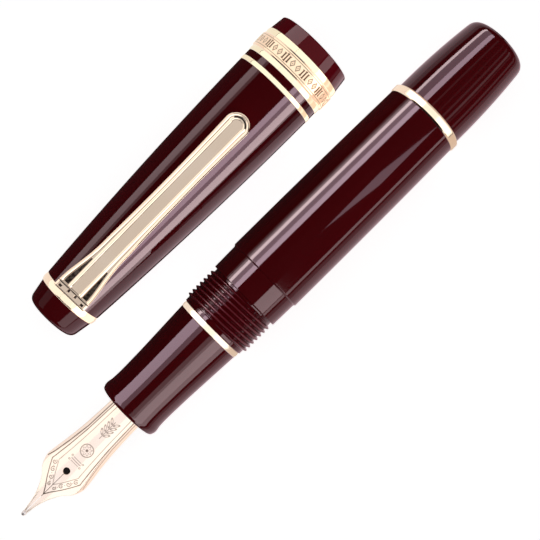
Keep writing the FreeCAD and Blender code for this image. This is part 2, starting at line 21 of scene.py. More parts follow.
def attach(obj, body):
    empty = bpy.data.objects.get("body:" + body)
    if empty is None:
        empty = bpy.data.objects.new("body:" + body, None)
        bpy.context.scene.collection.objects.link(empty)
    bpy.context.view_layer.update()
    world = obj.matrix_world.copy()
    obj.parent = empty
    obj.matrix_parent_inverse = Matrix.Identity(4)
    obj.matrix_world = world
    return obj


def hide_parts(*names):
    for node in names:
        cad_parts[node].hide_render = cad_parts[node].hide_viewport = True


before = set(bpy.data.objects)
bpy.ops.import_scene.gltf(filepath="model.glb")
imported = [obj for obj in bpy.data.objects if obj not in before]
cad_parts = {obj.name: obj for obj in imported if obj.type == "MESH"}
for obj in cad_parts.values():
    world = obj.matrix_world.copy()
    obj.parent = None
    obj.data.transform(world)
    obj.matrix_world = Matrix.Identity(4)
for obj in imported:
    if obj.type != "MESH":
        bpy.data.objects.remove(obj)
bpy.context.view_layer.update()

MM = 0.001
TURN = 2.0 * math.pi
CROWDED = 0.05  # how close the outermost rows of a straight run lie to its ends
FILLET_ROWS = 7
LOG = logging.getLogger("fountain_pen")

Array = np.ndarray
Colour = tuple[float, float, float]
Shape = Callable[[Array, Array, Array], Array]


# ---------------------------------------------------------------- surfaces


@dataclass(frozen=True)
class Axis:
    """The long axis of the pen or of the cap.

    Attributes:
        front: where distance zero lies, millimetres in the shared frame.
        tilt: degrees by which the far end rises above the near end.
        yaw: degrees by which the near end swings towards +Y.
        roll: degrees by which the item is rolled towards +Y.
    """

    front: tuple[float, float, float]
    tilt: float = 0.0
    yaw: float = 0.0
    roll: float = 0.0

    def put(self, along: Array, across: Array, up: Array) -> Array:
        """Carry local millimetres into frame metres.

        The offsets are rolled first, to s = across cos q + up sin q and h = up cos q - across
        sin q. Then the far end points to -X and rises by the tilt, s is +Y, h stays square to
        both, and all of it is turned by the yaw about a plumb line through the near end.

        Args:
            along: distance from the near end.
            across: sideways offset.
            up: offset away from the table.

        Returns:
            Points as an (n, 3) array.
        """
        lean, swing, roll = (math.radians(v) for v in (self.tilt, self.yaw, self.roll))
        aside = across * math.cos(roll) + up * math.sin(roll)
        high = up * math.cos(roll) - across * math.sin(roll)
        ahead = high * math.sin(lean) - along * math.cos(lean)
        x = self.front[0] + ahead * math.cos(swing) - aside * math.sin(swing)
        y = self.front[1] + ahead * math.sin(swing) + aside * math.cos(swing)
        z = self.front[2] + along * math.sin(lean) + high * math.cos(lean)
        return np.stack([np.ravel(v) for v in np.broadcast_arrays(x, y, z)], axis=1) * MM


PEN = Axis((65.0, 12.69, 8.4))
CAP = Axis((35.16, -10.78, 7.03), 1.9, 0.93, 4.5)


@dataclass(frozen=True)
class Corner:
    """One corner of a turned outline.

    Attributes:
        at: distance along the axis.
        rad: distance from the axis.
        fillet: size of the rounding at this corner.
        step: longest span between rows on the run that leaves this corner.
        bulge: how far that run bows outwards at its middle.
    """

    at: float
    rad: float
    fillet: float = 0.0
    step: float = 1.2
    bulge: float = 0.0


def smooth(low: float, high: float, value: Array) -> Array:
    """Ease from 0 at low to 1 at high with the cubic 3s^2 - 2s^3."""
    s = np.clip((value - low) / (high - low), 0.0, 1.0)
    return s * s * (3.0 - 2.0 * s)


def window(start: float, full: float, fade: float, stop: float, value: Array) -> Array:
    """1 between full and fade, easing to 0 at start and at stop."""
    return smooth(start, full, value) * (1.0 - smooth(fade, stop, value))


def highest(*masks: Array) -> Array:
    """The highest of several masks at each point."""
    return reduce(np.maximum, masks)


def outline(corners: Sequence[Corner], closed: bool = True) -> Array:
    """Turn corners into a dense row of outline points.

    Each fillet is a parabola between two tangent points. Each straight or bowed run is
    lerp(a, b, s) + normal * 4 * bulge * s * (1 - s), with rows crowded near both of its ends so
    that the shading of a flat run stays flat.

    Args:
        corners: the corners in order.
        closed: whether the last corner joins the first.

    Returns:
        An (n, 2) array of distance and radius.
    """
    spots = np.array([(c.at, c.rad) for c in corners])
    count = len(corners)
    ends = []
    for i, corner in enumerate(corners):
        before, after = spots[i - 1] - spots[i], spots[(i + 1) % count] - spots[i]
        inner = closed or 0 < i < count - 1
        room = 0.46 * min(np.linalg.norm(before), np.linalg.norm(after))
        size = min(corner.fillet, room) if inner else 0.0
        if size > 0.0:
            a = spots[i] + before / np.linalg.norm(before) * size
            b = spots[i] + after / np.linalg.norm(after) * size
            s = np.linspace(0.0, 1.0, FILLET_ROWS)[:, None]
            ends.append((1 - s) ** 2 * a + 2 * s * (1 - s) * spots[i] + s * s * b)
        else:
            ends.append(spots[i][None, :])
    rows = []
    for i, corner in enumerate(corners):
        rows.append(ends[i])
        if not closed and i == count - 1:
            break
        a, b = ends[i][-1], ends[(i + 1) % count][0]
        length = float(np.linalg.norm(b - a))
        if length < CROWDED:
            continue
        edge = min(CROWDED, 0.2 * length) / length
        inside = np.linspace(edge, 1.0 - edge, max(2, int(math.ceil(length / corner.step))))
        s = inside[:, None]
        normal = np.array([-(b - a)[1], (b - a)[0]]) / length
        rows.append(a + (b - a) * s + normal * (4.0 * corner.bulge) * s * (1.0 - s))
    return np.concatenate(rows)


def grid_faces(rows: int, cols: int, wrap_rows: bool, wrap_cols: bool) -> Array:
    """Four-cornered faces of a grid whose point (i, j) has number i * cols + j.

    Args:
        rows: rows in the grid.
        cols: points in a row.
        wrap_rows: whether the last row joins the first.
        wrap_cols: whether the last point of a row joins its first.

    Returns:
        An (n, 4) array of point numbers.
    """
    i = np.arange(rows if wrap_rows else rows - 1)[:, None]
    j = np.arange(cols if wrap_cols else cols - 1)[None, :]
    i2, j2 = (i + 1) % rows, (j + 1) % cols
    quads = [i * cols + j, i2 * cols + j, i2 * cols + j2, i * cols + j2]
    return np.stack([np.broadcast_to(q, (i.shape[0], j.shape[1])).ravel() for q in quads], axis=1)


def sheet_ends(rows: int, over: int, under: int) -> Array:
    """Faces that close the first and last rows of a flat loop.

    A row runs across the top and back across the underside. Point k of the top is joined to the
    point of the underside that lies the same share of the way across, so the sides may differ
    in their numbers of points.

    Args:
        rows: rows in the grid.
        over: points of a row on the top.
        under: points of a row on the underside.

    Returns:
        An (n, 4) array of point numbers.
    """
    k, cols = np.arange(over - 1), over + under
    first, last = [
        np.stack([base + k, base + k + 1,
                  base + cols - 1 - ((k + 1) * (under - 1)) // (over - 1),
                  base + cols - 1 - (k * (under - 1)) // (over - 1)], axis=1)
        for base in (0, (rows - 1) * cols)]
    return np.concatenate([first[:, ::-1], last])


def enclosed(points: Array, faces: Array) -> float:
    """Signed volume inside a closed surface: a sixth of the sum of a . (b x c)."""
    a, b, c, d = (points[faces[:, k]] for k in range(4))
    halves = np.einsum("ij,ij->i", a, np.cross(b, c)) + np.einsum("ij,ij->i", a, np.cross(c, d))
    return float(halves.sum() / 6.0)


def put_object(name: str, data: bpy.types.ID) -> bpy.types.Object:
    """Make an object and link it into the scene."""
    item = bpy.data.objects.new(name, data)
    bpy.context.scene.collection.objects.link(item)
    return item


def make_piece(name: str, points: Array, faces: Array,
               marks: Optional[dict[str, Array]] = None, sharp: float = 38.0) -> bpy.types.Object:
    """Put a surface into a mesh object that faces outwards.

    Faces that close up at a pole keep three corners. A surface whose signed volume is negative is
    turned the other way.

    Args:
        name: the piece's name.
        points: (n, 3) places in metres.
        faces: (m, 4) point numbers; a three-cornered face repeats its last number.
        marks: values per point, stored as attributes for the finish.
        sharp: edges steeper than this many degrees stay crisp.

    Returns:
        The new object, at the origin.
    """
    if enclosed(points, faces) < 0.0:
        faces = np.stack([faces[:, 0], faces[:, 3], faces[:, 2], faces[:, 1]], axis=1)
    same = faces == np.roll(faces, 1, axis=1)
    narrow = same.any(axis=1)
    polygons = faces[~narrow].tolist() + faces[narrow][~same[narrow]].reshape(-1, 3).tolist()
    mesh = bpy.data.meshes.new(name)
    mesh.from_pydata(points.tolist(), [], polygons)
    for mark, values in (marks or {}).items():
        layer = mesh.attributes.new(mark, "FLOAT", "POINT")
        layer.data.foreach_set("value", np.ascontiguousarray(values, dtype=np.float32))
    mesh.polygons.foreach_set("use_smooth", np.ones(len(mesh.polygons), dtype=bool))
    mesh.update()
    mesh.set_sharp_from_angle(angle=math.radians(sharp))
    return put_object(name, mesh)


def turned(name: str, axis: Axis, rows: Array, shape: Optional[Shape] = None,
           mark: Optional[tuple[str, Shape]] = None, cols: int = 192) -> bpy.types.Object:
    """A body of revolution: (t, r) goes to t along the axis and r (sin a, cos a) around it.

    An outline that ends on the axis is closed there with a pole; any other outline is a loop.

    Args:
        name: the piece's name.
        axis: the item's axis.
        rows: (n, 2) outline points.
        shape: optional change of radius as a function of distance, angle and radius.
        mark: optional attribute name and its function of distance, angle and radius.
        cols: points around.

    Returns:
        The new object.
    """
    t = np.repeat(rows[:, :1], cols, axis=1)
    a = np.repeat((np.arange(cols) * (TURN / cols))[None, :], len(rows), axis=0)
    r = np.repeat(rows[:, 1:], cols, axis=1)
    bent = shape(t, a, r) if shape else r
    points = axis.put(t, bent * np.sin(a), bent * np.cos(a))
    poles = rows[0, 1] < 1e-6 and rows[-1, 1] < 1e-6
    faces = grid_faces(len(rows), cols, not poles, True)
    if poles:
        last = (len(rows) - 1) * cols
        faces = np.where(faces < cols, 0, faces)
        faces = np.where(faces >= last, last, faces)
    marks = {mark[0]: mark[1](t, a, r).ravel()} if mark else None
    if poles:
        used, inverse = np.unique(faces, return_inverse=True)
        points, faces = points[used], inverse.reshape(faces.shape)
        marks = {k: v[used] for k, v in marks.items()} if marks else None
    return make_piece(name, points, faces, marks)


def thread_ridge(t: Array, a: Array, pitch: float, starts: int) -> Array:
    """Height 0 to 1 of a screw: (0.5 + 0.5 cos(2 pi t / pitch - starts a))^0.8."""
    phase = t / pitch - starts * a / TURN
    return (0.5 + 0.5 * np.cos(TURN * phase)) ** 0.8


def path_gap(x: Array, y: Array, route: Sequence[tuple[float, float]]) -> Array:
    """Distance from each point to the nearest of the straight runs of a route."""
    best = np.full(np.shape(x), 1e9)
    for (ax, ay), (bx, by) in zip(route[:-1], route[1:]):
        dx, dy = bx - ax, by - ay
        s = np.clip(((x - ax) * dx + (y - ay) * dy) / (dx * dx + dy * dy), 0.0, 1.0)
        best = np.minimum(best, np.hypot(x - ax - s * dx, y - ay - s * dy))
    return best


def stroke(gap: Array, width: float, soft: float = 0.05) -> Array:
    """1 inside a line of this width around gap zero, easing to 0 over soft."""
    return 1.0 - smooth(width / 2.0, width / 2.0 + soft, np.abs(gap))


def curl(x: Array, y: Array, cx: float, cy: float, rad: float, hand: float, width: float) -> Array:
    """A scroll: the spiral rho = rad * (1 - a / 540 degrees), as a line of the given width.

    Args:
        x: distance along.
        y: distance across.
        cx: centre along.
        cy: centre across.
        rad: outer radius.
        hand: +1 or -1 for its turning sense.
        width: line width.

    Returns:
        1 on the line and 0 away from it.
    """
    rho = np.hypot(x - cx, y - cy)
    angle = np.mod(np.arctan2((y - cy) * hand, x - cx), TURN)
    first = np.abs(rho - rad * (1.0 - angle / (1.5 * TURN)))
    second = np.abs(rho - rad * (1.0 - (angle + TURN) / (1.5 * TURN)))
    inside = (angle + TURN) < 1.4 * TURN
    return stroke(np.minimum(first, np.where(inside, second, 9.0)), width)


# ---------------------------------------------------------------- finishes


class Graph:
    """A small helper that places and joins nodes in one tree."""

    def __init__(self, tree: bpy.types.NodeTree) -> None:
        """Keep the tree, emptied."""
        self.tree = tree
        tree.nodes.clear()

    def add(self, kind: str, **values: object) -> bpy.types.Node:
        """Place a node.

        Args:
            kind: the node's type without the ShaderNode prefix.
            values: its properties; a name that is no property is an input, and takes either a
                value or the output that feeds it.

        Returns:
            The node.
        """
        node = self.tree.nodes.new(kind if kind.startswith("Node") else "ShaderNode" + kind)
        for key, value in values.items():
            if hasattr(node, key):
                setattr(node, key, value)
            else:
                self.supply(node.inputs[key.replace("_", " ")], value)
        return node

    def supply(self, target: bpy.types.NodeSocket, value: object) -> None:
        """Give an input its value, or a link when the value is an output."""
        if isinstance(value, bpy.types.NodeSocket):
            self.join(value, target)
        else:
            target.default_value = value

    def join(self, source: bpy.types.NodeSocket, target: bpy.types.NodeSocket) -> None:
        """Draw a link from an output to an input."""
        self.tree.links.new(source, target)

    def fed(self, node: bpy.types.Node, *terms: object) -> bpy.types.NodeSocket:
        """Supply a node's inputs in order and return its first output."""
        for target, term in zip(node.inputs, terms):
            self.supply(target, term)
        return node.outputs[0]

    def sum(self, operation: str, *terms: object) -> bpy.types.NodeSocket:
        """A Math node over outputs and numbers; returns its output."""
        return self.fed(self.add("Math", operation=operation), *terms)

    def blend(self, share: bpy.types.NodeSocket, first: bpy.types.NodeSocket,
              second: bpy.types.NodeSocket) -> bpy.types.NodeSocket:
        """A mix of two colours; returns its output."""
        node = self.add("Mix", data_type="RGBA")
        for place, source in ((0, share), (6, first), (7, second)):
            self.join(source, node.inputs[place])
        return node.outputs[2]

    def ramp(self, value: bpy.types.NodeSocket, low: float, high: float,
             to_low: float, to_high: float) -> bpy.types.NodeSocket:
        """A clamped Map Range of a socket; returns its output."""
        return self.fed(self.add("MapRange"), value, low, high, to_low, to_high)


def new_group(name: str, inputs: dict[str, object],
              outputs: dict[str, str]) -> tuple[Graph, bpy.types.Node, bpy.types.Node]:
    """Start a shader node group with named sockets.

    Args:
        name: the group's name.
        inputs: input names with their defaults; None gives a vector input, a tuple a colour input,
            any other value a float input.
        outputs: output names with their socket types.

    Returns:
        The graph, its input node and its output node.
    """
    tree = bpy.data.node_groups.new(name, "ShaderNodeTree")
    graph = Graph(tree)
    for key, value in inputs.items():
        kind = ("NodeSocketVector" if value is None else
                "NodeSocketColor" if isinstance(value, tuple) else "NodeSocketFloat")
        socket = tree.interface.new_socket(name=key, in_out="INPUT", socket_type=kind)
        if value is not None:
            socket.default_value = value
    for key, kind in outputs.items():
        tree.interface.new_socket(name=key, in_out="OUTPUT", socket_type=kind)
    return graph, graph.add("NodeGroupInput"), graph.add("NodeGroupOutput")


class Effects:
    """The shader groups that several finishes share."""

    def __init__(self) -> None:
        """Build each group once."""
        self.handling = self._handling()
        self.drift = self._drift()
        self.painted_mark = self._painted_mark()

    def _handling(self) -> bpy.types.NodeTree:
        """Marks of handling: cloudy haze and fine lengthwise hairlines.

        Haze is noise at the given scale; hairlines are noise squeezed twentyfold across the
        item, kept only where it is highest. Roughness runs from Low to High with their sum, and
        Height gives a few of them a faint depth.
        """
        graph, given, out = new_group(
            "handling_marks", {"Vector": None, "Scale": 60.0, "Low": 0.05, "High": 0.12},
            {"Roughness": "NodeSocketFloat", "Height": "NodeSocketFloat"})
        spot, scale = given.outputs["Vector"], given.outputs["Scale"]
        haze = graph.add("TexNoise", Detail=3.0, Roughness=0.55, Vector=spot, Scale=scale)
        narrow = graph.fed(graph.add("VectorMath", operation="MULTIPLY"), spot, (1.0, 20.0, 20.0))
        lines = graph.add("TexNoise", Detail=2.0, Roughness=0.6, Vector=narrow,
                          Scale=graph.sum("MULTIPLY", scale, 3.0))
        fine = graph.ramp(lines.outputs["Fac"], 0.58, 0.78, 0.0, 1.0)
        soft = graph.ramp(haze.outputs["Fac"], 0.35, 0.7, 0.0, 1.0)
        both = graph.sum("MULTIPLY_ADD", fine, 0.5, graph.sum("MULTIPLY", soft, 0.5))
        span = graph.sum("SUBTRACT", given.outputs["High"], given.outputs["Low"])
        graph.join(graph.sum("MULTIPLY_ADD", both, span, given.outputs["Low"]),
                   out.inputs["Roughness"])
        graph.join(graph.sum("SUBTRACT", haze.outputs["Fac"], fine), out.inputs["Height"])
        return graph.tree

    def _drift(self) -> bpy.types.NodeTree:
        """Slow drift between two colours: a mix by low noise, as in cast or plated stock."""
        graph, given, out = new_group(
            "colour_drift",
            {"Vector": None, "Scale": 25.0, "First": (1.0,) * 4, "Second": (1.0,) * 4},
            {"Colour": "NodeSocketColor"})
        cloud = graph.add("TexNoise", Detail=2.0, Roughness=0.5, Distortion=0.6,
                          Vector=given.outputs["Vector"], Scale=given.outputs["Scale"])
        share = graph.ramp(cloud.outputs["Fac"], 0.3, 0.7, 0.0, 1.0)
        graph.join(graph.blend(share, given.outputs["First"], given.outputs["Second"]),
                   out.inputs["Colour"])
        return graph.tree

    def _painted_mark(self) -> bpy.types.NodeTree:
        """Painted shade and glow laid over a ground colour: mix(ground, fill, mark), broken up by
        fine noise.
        """
        graph, given, out = new_group(
            "painted_shade_and_glow",
            {"Vector": None, "Mark": 0.0, "Ground": (1.0,) * 4, "Fill": (0.1, 0.1, 0.1, 1.0)},
            {"Colour": "NodeSocketColor", "Mask": "NodeSocketFloat"})
        grain = graph.add("TexNoise", Scale=1800.0, Detail=1.0, Vector=given.outputs["Vector"])
        # Fine noise breaks up the painted shade and glow.
        speckle = graph.ramp(grain.outputs["Fac"], 0.25, 0.6, 0.9, 1.0)
        mask = graph.sum("MULTIPLY", given.outputs["Mark"], speckle)
        graph.join(graph.blend(mask, given.outputs["Ground"], given.outputs["Fill"]),
                   out.inputs["Colour"])
        graph.join(mask, out.inputs["Mask"])
        return graph.tree


@dataclass(frozen=True)
class Finish:
    """What a surface is made of.

    Attributes:
        name: the material's name.
        first: one end of the colour drift.
        second: the other end.
        low: lowest roughness.
        high: highest roughness.
        metallic: 1 for metal.
        ior: index of refraction.
        clear: share of light that passes through.
        scale: size of the haze, cells a metre.
        relief: depth of the bump, metres.
        mark: attribute that says where the fill colour lies.
        fill: the fill colour: painted shade and dark reflection in cuts and pockets, painted glow
            on screw crests.
        ring_lines: turned lines a metre along the axis, or none.
    """

    name: str
    first: Colour
    second: Colour
    low: float
    high: float
    metallic: float = 0.0
    ior: float = 1.5
    clear: float = 0.0
    scale: float = 60.0
    relief: float = 0.000002
    mark: Optional[str] = None
    fill: Colour = (0.02, 0.02, 0.02)
    ring_lines: float = 0.0

    def build(self, effects: Effects) -> bpy.types.Material:
        """Make the material.

        Args:
            effects: the shared groups.

        Returns:
            The material.
        """
        material = bpy.data.materials.new(self.name)
        material.use_nodes = True
        graph = Graph(material.node_tree)
        spot = graph.add("TexCoord").outputs["Object"]
        colour = graph.add("Group", node_tree=effects.drift, Vector=spot, Scale=self.scale * 0.6,
                           First=(*self.first, 1.0), Second=(*self.second, 1.0)).outputs["Colour"]
        marks = graph.add("Group", node_tree=effects.handling, Vector=spot, Scale=self.scale,
                          Low=self.low, High=self.high)
        rough, height = marks.outputs["Roughness"], marks.outputs["Height"]
        # Painted shade, dark reflection and glow go where the mark attribute lies.
        if self.mark:
            named = graph.add("Attribute", attribute_name=self.mark)
            painted_mark = graph.add("Group", node_tree=effects.painted_mark, Vector=spot,
                              Mark=named.outputs["Fac"], Ground=colour, Fill=(*self.fill, 1.0))
            colour = painted_mark.outputs["Colour"]
            rough = graph.sum("MULTIPLY_ADD", painted_mark.outputs["Mask"], 0.25, rough)
        if self.ring_lines:
            wave = graph.add("TexWave", wave_type="BANDS", bands_direction="X", Vector=spot,
                             Scale=self.ring_lines, Distortion=0.0, Detail=0.0)
            height = graph.sum("MULTIPLY_ADD", wave.outputs["Fac"], 2.0, height)
        bump = graph.add("Bump", Strength=0.6, Distance=self.relief, Height=height)
        shader = graph.add("BsdfPrincipled", Metallic=self.metallic, IOR=self.ior,
                           Transmission_Weight=self.clear, Base_Color=colour, Roughness=rough,
                           Normal=bump.outputs["Normal"])
        graph.add("OutputMaterial", Surface=shader.outputs[0])
        return material


BURGUNDY = ((0.066, 0.0018, 0.0034), (0.078, 0.0023, 0.0041))
CAST = {"scale": 45.0, "relief": 0.0000012}
PLATED = {"metallic": 1.0, "scale": 160.0}


class Stock(Enum):
    """The finishes that the pen is made in."""

    RESIN = Finish("burgundy_resin", *BURGUNDY, 0.05, 0.09, **CAST)
    # A brighter copy of the burgundy resin for the cap's lip: painted glow of light through the
    # thin resin.
    LIP = Finish("burgundy_resin_painted_glow", (0.125, 0.0030, 0.0075), (0.150, 0.0040, 0.0095),
                 0.03, 0.07, **CAST)
    # The screw's fill colour is painted glow of light through the thin crests.
    SCREW = Finish("burgundy_screw", *BURGUNDY, 0.04, 0.10, **CAST, mark="crest",
                   fill=(0.14, 0.004, 0.011))
    GOLD = Finish("rose_gold_plate", (0.93, 0.76, 0.60), (0.96, 0.80, 0.64), 0.06, 0.14, **PLATED)
    # A paler, yellower copy of the rose gold plate for the cap's thin ring and rims: painted
    # highlight.
    PALE = Finish("rose_gold_painted_highlight", (0.93, 0.85, 0.62), (0.96, 0.88, 0.66), 0.06, 0.14, **PLATED)
    # The band's fill colour is painted shade in the frieze's cuts.
    BAND = Finish("chased_band", (0.93, 0.72, 0.54), (0.96, 0.76, 0.58), 0.08, 0.18, **PLATED,
                  mark="frieze", fill=(0.10, 0.06, 0.04))
    # The clip's fill colour is painted dark reflection in its pockets, rail lines and tie bar.
    CLIP = Finish("clip_plate", (0.93, 0.74, 0.58), (0.96, 0.78, 0.63), 0.05, 0.10, **PLATED,
                  mark="pocket", fill=(0.020, 0.012, 0.010))
    SATIN = Finish("satin_gold_plate", (0.93, 0.80, 0.66), (0.96, 0.84, 0.70), 0.20, 0.28,
                   **PLATED)
    # The nib's fill colour is painted shade in the engraved lines.
    NIB = Finish("nib_gold", (0.96, 0.82, 0.73), (0.98, 0.86, 0.78), 0.10, 0.2,
                 metallic=1.0, scale=200.0, mark="engraving", fill=(0.085, 0.045, 0.025))
    TIPPING = Finish("tipping_alloy", (0.62, 0.58, 0.60), (0.72, 0.68, 0.69), 0.22, 0.4,
                     metallic=1.0, scale=900.0, relief=0.00001)
    EBONITE = Finish("black_feed_plastic", (0.010, 0.009, 0.010), (0.017, 0.015, 0.016),
                     0.28, 0.46, scale=300.0, relief=0.000006)
    BRASS = Finish("turned_brass", (0.68, 0.46, 0.17), (0.78, 0.56, 0.24), 0.18, 0.32,
                   metallic=1.0, scale=220.0, relief=0.000004, ring_lines=900.0)
    TUBE = Finish("clear_tube", (0.96, 0.97, 0.97), (0.99, 0.99, 0.99), 0.02, 0.06,
                  clear=1.0, ior=1.49, scale=120.0)
    STEEL = Finish("bright_steel", (0.62, 0.62, 0.63), (0.70, 0.70, 0.71), 0.14, 0.26,
                   metallic=1.0, scale=240.0, relief=0.000003, ring_lines=1200.0)
    RUBBER = Finish("seal_rubber", (0.016, 0.016, 0.017), (0.03, 0.03, 0.03), 0.5, 0.68,
                    scale=500.0, relief=0.000012)


class Workshop:
    """Holds the finished materials and dresses pieces with them."""

    def __init__(self) -> None:
        """Build the shared effects and every material."""
        effects = Effects()
        self.materials = {stock: stock.value.build(effects) for stock in Stock}
        self.groups: dict[str, list[bpy.types.Object]] = {}

    def keep(self, node: str, stock: Stock, group: str = "inner") -> None:
        """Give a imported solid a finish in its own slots.

        Args:
            node: the solid's name.
            stock: the finish.
            group: the lighting group that it joins.
        """
        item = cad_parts[node]
        for slot in item.material_slots:
            slot.material = self.materials[stock]
        item.visible_glossy = False
        self.groups.setdefault(group, []).append(item)
        LOG.info("kept %s in %s", node, stock.value.name)

    def fit(self, piece: bpy.types.Object, node: str, body: str, stock: Stock,
            group: str) -> bpy.types.Object:
        """Dress a new piece, let it ride on its body and stand for its solid.

        Args:
            piece: the new piece.
            node: the solid it replaces.
            body: the body it rides on.
            stock: the finish.
            group: the lighting group that it joins.

        Returns:
            The piece.
        """
        piece.data.materials.append(self.materials[stock])
        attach(piece, body)
        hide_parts(node)
        self.groups.setdefault(group, []).append(piece)
        piece.visible_glossy = node == "barrel"
        LOG.info("made %s: %d faces, rides on %s", piece.name, len(piece.data.polygons), body)
        return piece


# ---------------------------------------------------------------- writing end


@dataclass
class Nib:
    """The bent gold nib, its slit, breather hole, chased lines and tip.

    Attributes:
        stations: distance from the tip, half width, bend radius and height of the top line.
        thick: sheet thickness.
        hole_at: where the breather hole lies.
        hole_rad: its radius.
        slit: half the width of the slit.
        depth: depth of the chased lines.
        chased: where the chasing ends.
        over: points across the top of one half.
        under: points back across its underside.
        ball_rise: height of the ball's axis over the pen's.
    """

    stations: tuple[tuple[float, float, float, float], ...] = (
        (0.92, 0.42, 2.2, 2.2), (2.4, 0.66, 3.0, 2.5), (4.7, 1.15, 4.2, 2.92),
        (7.0, 2.12, 5.6, 3.28), (8.2, 2.9, 6.0, 3.42), (9.4, 4.15, 6.2, 3.54),
        (10.6, 4.78, 6.3, 3.63), (11.7, 5.03, 6.2, 3.7), (13.6, 4.86, 5.7, 3.79),
        (16.4, 4.45, 4.95, 3.86), (21.0, 4.0, 4.22, 3.9), (28.0, 3.74, 3.9, 3.9),
        (36.0, 3.74, 3.9, 3.9), (44.0, 3.74, 3.9, 3.9))
    thick: float = 0.48
    hole_at: float = 12.2
    hole_rad: float = 0.75
    slit: float = 0.05
    depth: float = 0.035
    chased: float = 28.0
    over: int = 58
    under: int = 14
    ball_rise: float = 1.98

    def rows(self) -> Array:
        """Distances of the rows: fine on the chased part, crowded by a cosine round the hole."""
        psi = np.linspace(0.07, math.pi - 0.001, 27)
        hole = self.hole_at - self.hole_rad * np.cos(psi)
        return np.concatenate([
            np.linspace(self.stations[0][0], 4.0, 26, endpoint=False),
            np.arange(4.0, hole[0] - 0.04, 0.085), hole,
            np.arange(hole[-1] + 0.06, self.chased + 0.2, 0.085),
            np.linspace(self.chased + 0.4, self.stations[-1][0], 17)])

    def size_at(self, p: Array) -> tuple[Array, Array, Array]:
        """Half width, bend radius and top line, by Hermite cubics with limited slopes.

        Args:
            p: distances from the tip.

        Returns:
            The three sizes at each distance.
        """
        table = np.array(self.stations)
        x = table[:, 0]
        k = np.clip(np.searchsorted(x, p, side="right") - 1, 0, len(x) - 2)
        span = x[k + 1] - x[k]
        s = (p - x[k]) / span
        results = []
        for column in table[:, 1:].T:
            rise = np.diff(column) / np.diff(x)
            flat = rise[:-1] * rise[1:] <= 0.0
            mean = 2.0 * rise[:-1] * rise[1:] / np.where(flat, 1.0, rise[:-1] + rise[1:])
            slope = np.concatenate([[rise[0]], np.where(flat, 0.0, mean), [rise[-1]]])
            results.append(
                column[k] * (1 + 2 * s) * (1 - s) ** 2 + slope[k] * span * s * (1 - s) ** 2
                + column[k + 1] * s * s * (3 - 2 * s) + slope[k + 1] * span * s * s * (s - 1))
        return results[0], results[1], results[2]

    def chasing(self, p: Array, y: Array) -> Array:
        """Where the engraved lines run, as 0 to 1 over the plan of the nib.

        An outer border and an inner line meet at the slit ahead of the hole and run back beside
        the edges. Scrolls sit between them, a rosette and bars lie behind the hole, and a small
        leaf spray ends the pattern.

        Args:
            p: distance from the tip.
            y: signed offset from the middle.

        Returns:
            The strength of the engraving, which sets both its depth and its painted shade.
        """
        side = np.abs(y)
        outer = ((5.9, 0.0), (7.2, 0.75), (9.0, 2.0), (10.6, 3.0), (11.9, 3.75), (12.9, 3.6),
                 (16.0, 3.25), (21.0, 2.85), (30.0, 2.55))
        inner = ((8.5, 0.0), (9.3, 0.55), (11.0, 1.6), (12.7, 2.6), (13.6, 2.5), (16.0, 2.3),
                 (21.0, 2.05), (30.0, 1.85))
        edge = ((11.5, 4.75), (13.0, 4.35), (16.4, 3.8), (21.0, 3.25), (30.0, 2.95))
        scrolls = ((8.15, 0.62, 0.38, 1.0), (9.35, 1.35, 0.5, -1.0), (10.6, 2.1, 0.52, 1.0),
                   (11.8, 2.9, 0.5, -1.0))
        dots = ((8.75, 0.98), (9.95, 1.75), (11.2, 2.5))
        bars = ((14.3, 0.9), (14.75, 1.15), (15.2, 0.9))
        rings = ((14.3, -1.35), (14.3, 1.35), (15.2, -1.35), (15.2, 1.35))
        leaves = (21.8, 22.7, 23.6, 24.5)
        return highest(
            0.85 * stroke(path_gap(p, side, outer), 0.13),
            0.6 * stroke(path_gap(p, side, inner), 0.10),
            # The edge line is painted darker on the -Y side: painted shade.
            stroke(path_gap(p, side, edge), 0.10, 0.08) * np.where(y < 0.0, 1.0, 0.45),
            *(0.75 * curl(p, side, *scroll, 0.1) for scroll in scrolls),
            *(0.8 * stroke(np.hypot(p - at, side - off), 0.12) for at, off in dots),
            self.rosette(p, y, 17.7, 1.25),
            *(0.55 * stroke(path_gap(p, y, ((at, -half), (at, half))), 0.1) for at, half in bars),
            *(0.6 * stroke(np.hypot(p - at, y - off) - 0.16, 0.08) for at, off in rings),
            0.7 * stroke(path_gap(p, y, ((21.0, 0.0), (25.3, 0.0))), 0.09),
            *(0.65 * stroke((np.hypot((p - at - 0.8 * side) / 0.34, (side - 0.62) / 0.5) - 0.8)
                            * 0.3, 0.1) for at in leaves))

    @staticmethod
    def rosette(p: Array, y: Array, at: float, rad: float) -> Array:
        """An eight-petalled rosette, rho = rad (0.62 + 0.17 cos 8a), in a ring round a dot."""
        rho, angle = np.hypot(p - at, y), np.arctan2(y, p - at)
        petals = stroke(rho - rad * (0.62 + 0.17 * np.cos(8.0 * angle)), 0.1)
        return highest(0.6 * petals, 0.75 * stroke(rho - rad, 0.12), 0.8 * stroke(rho, 0.5))

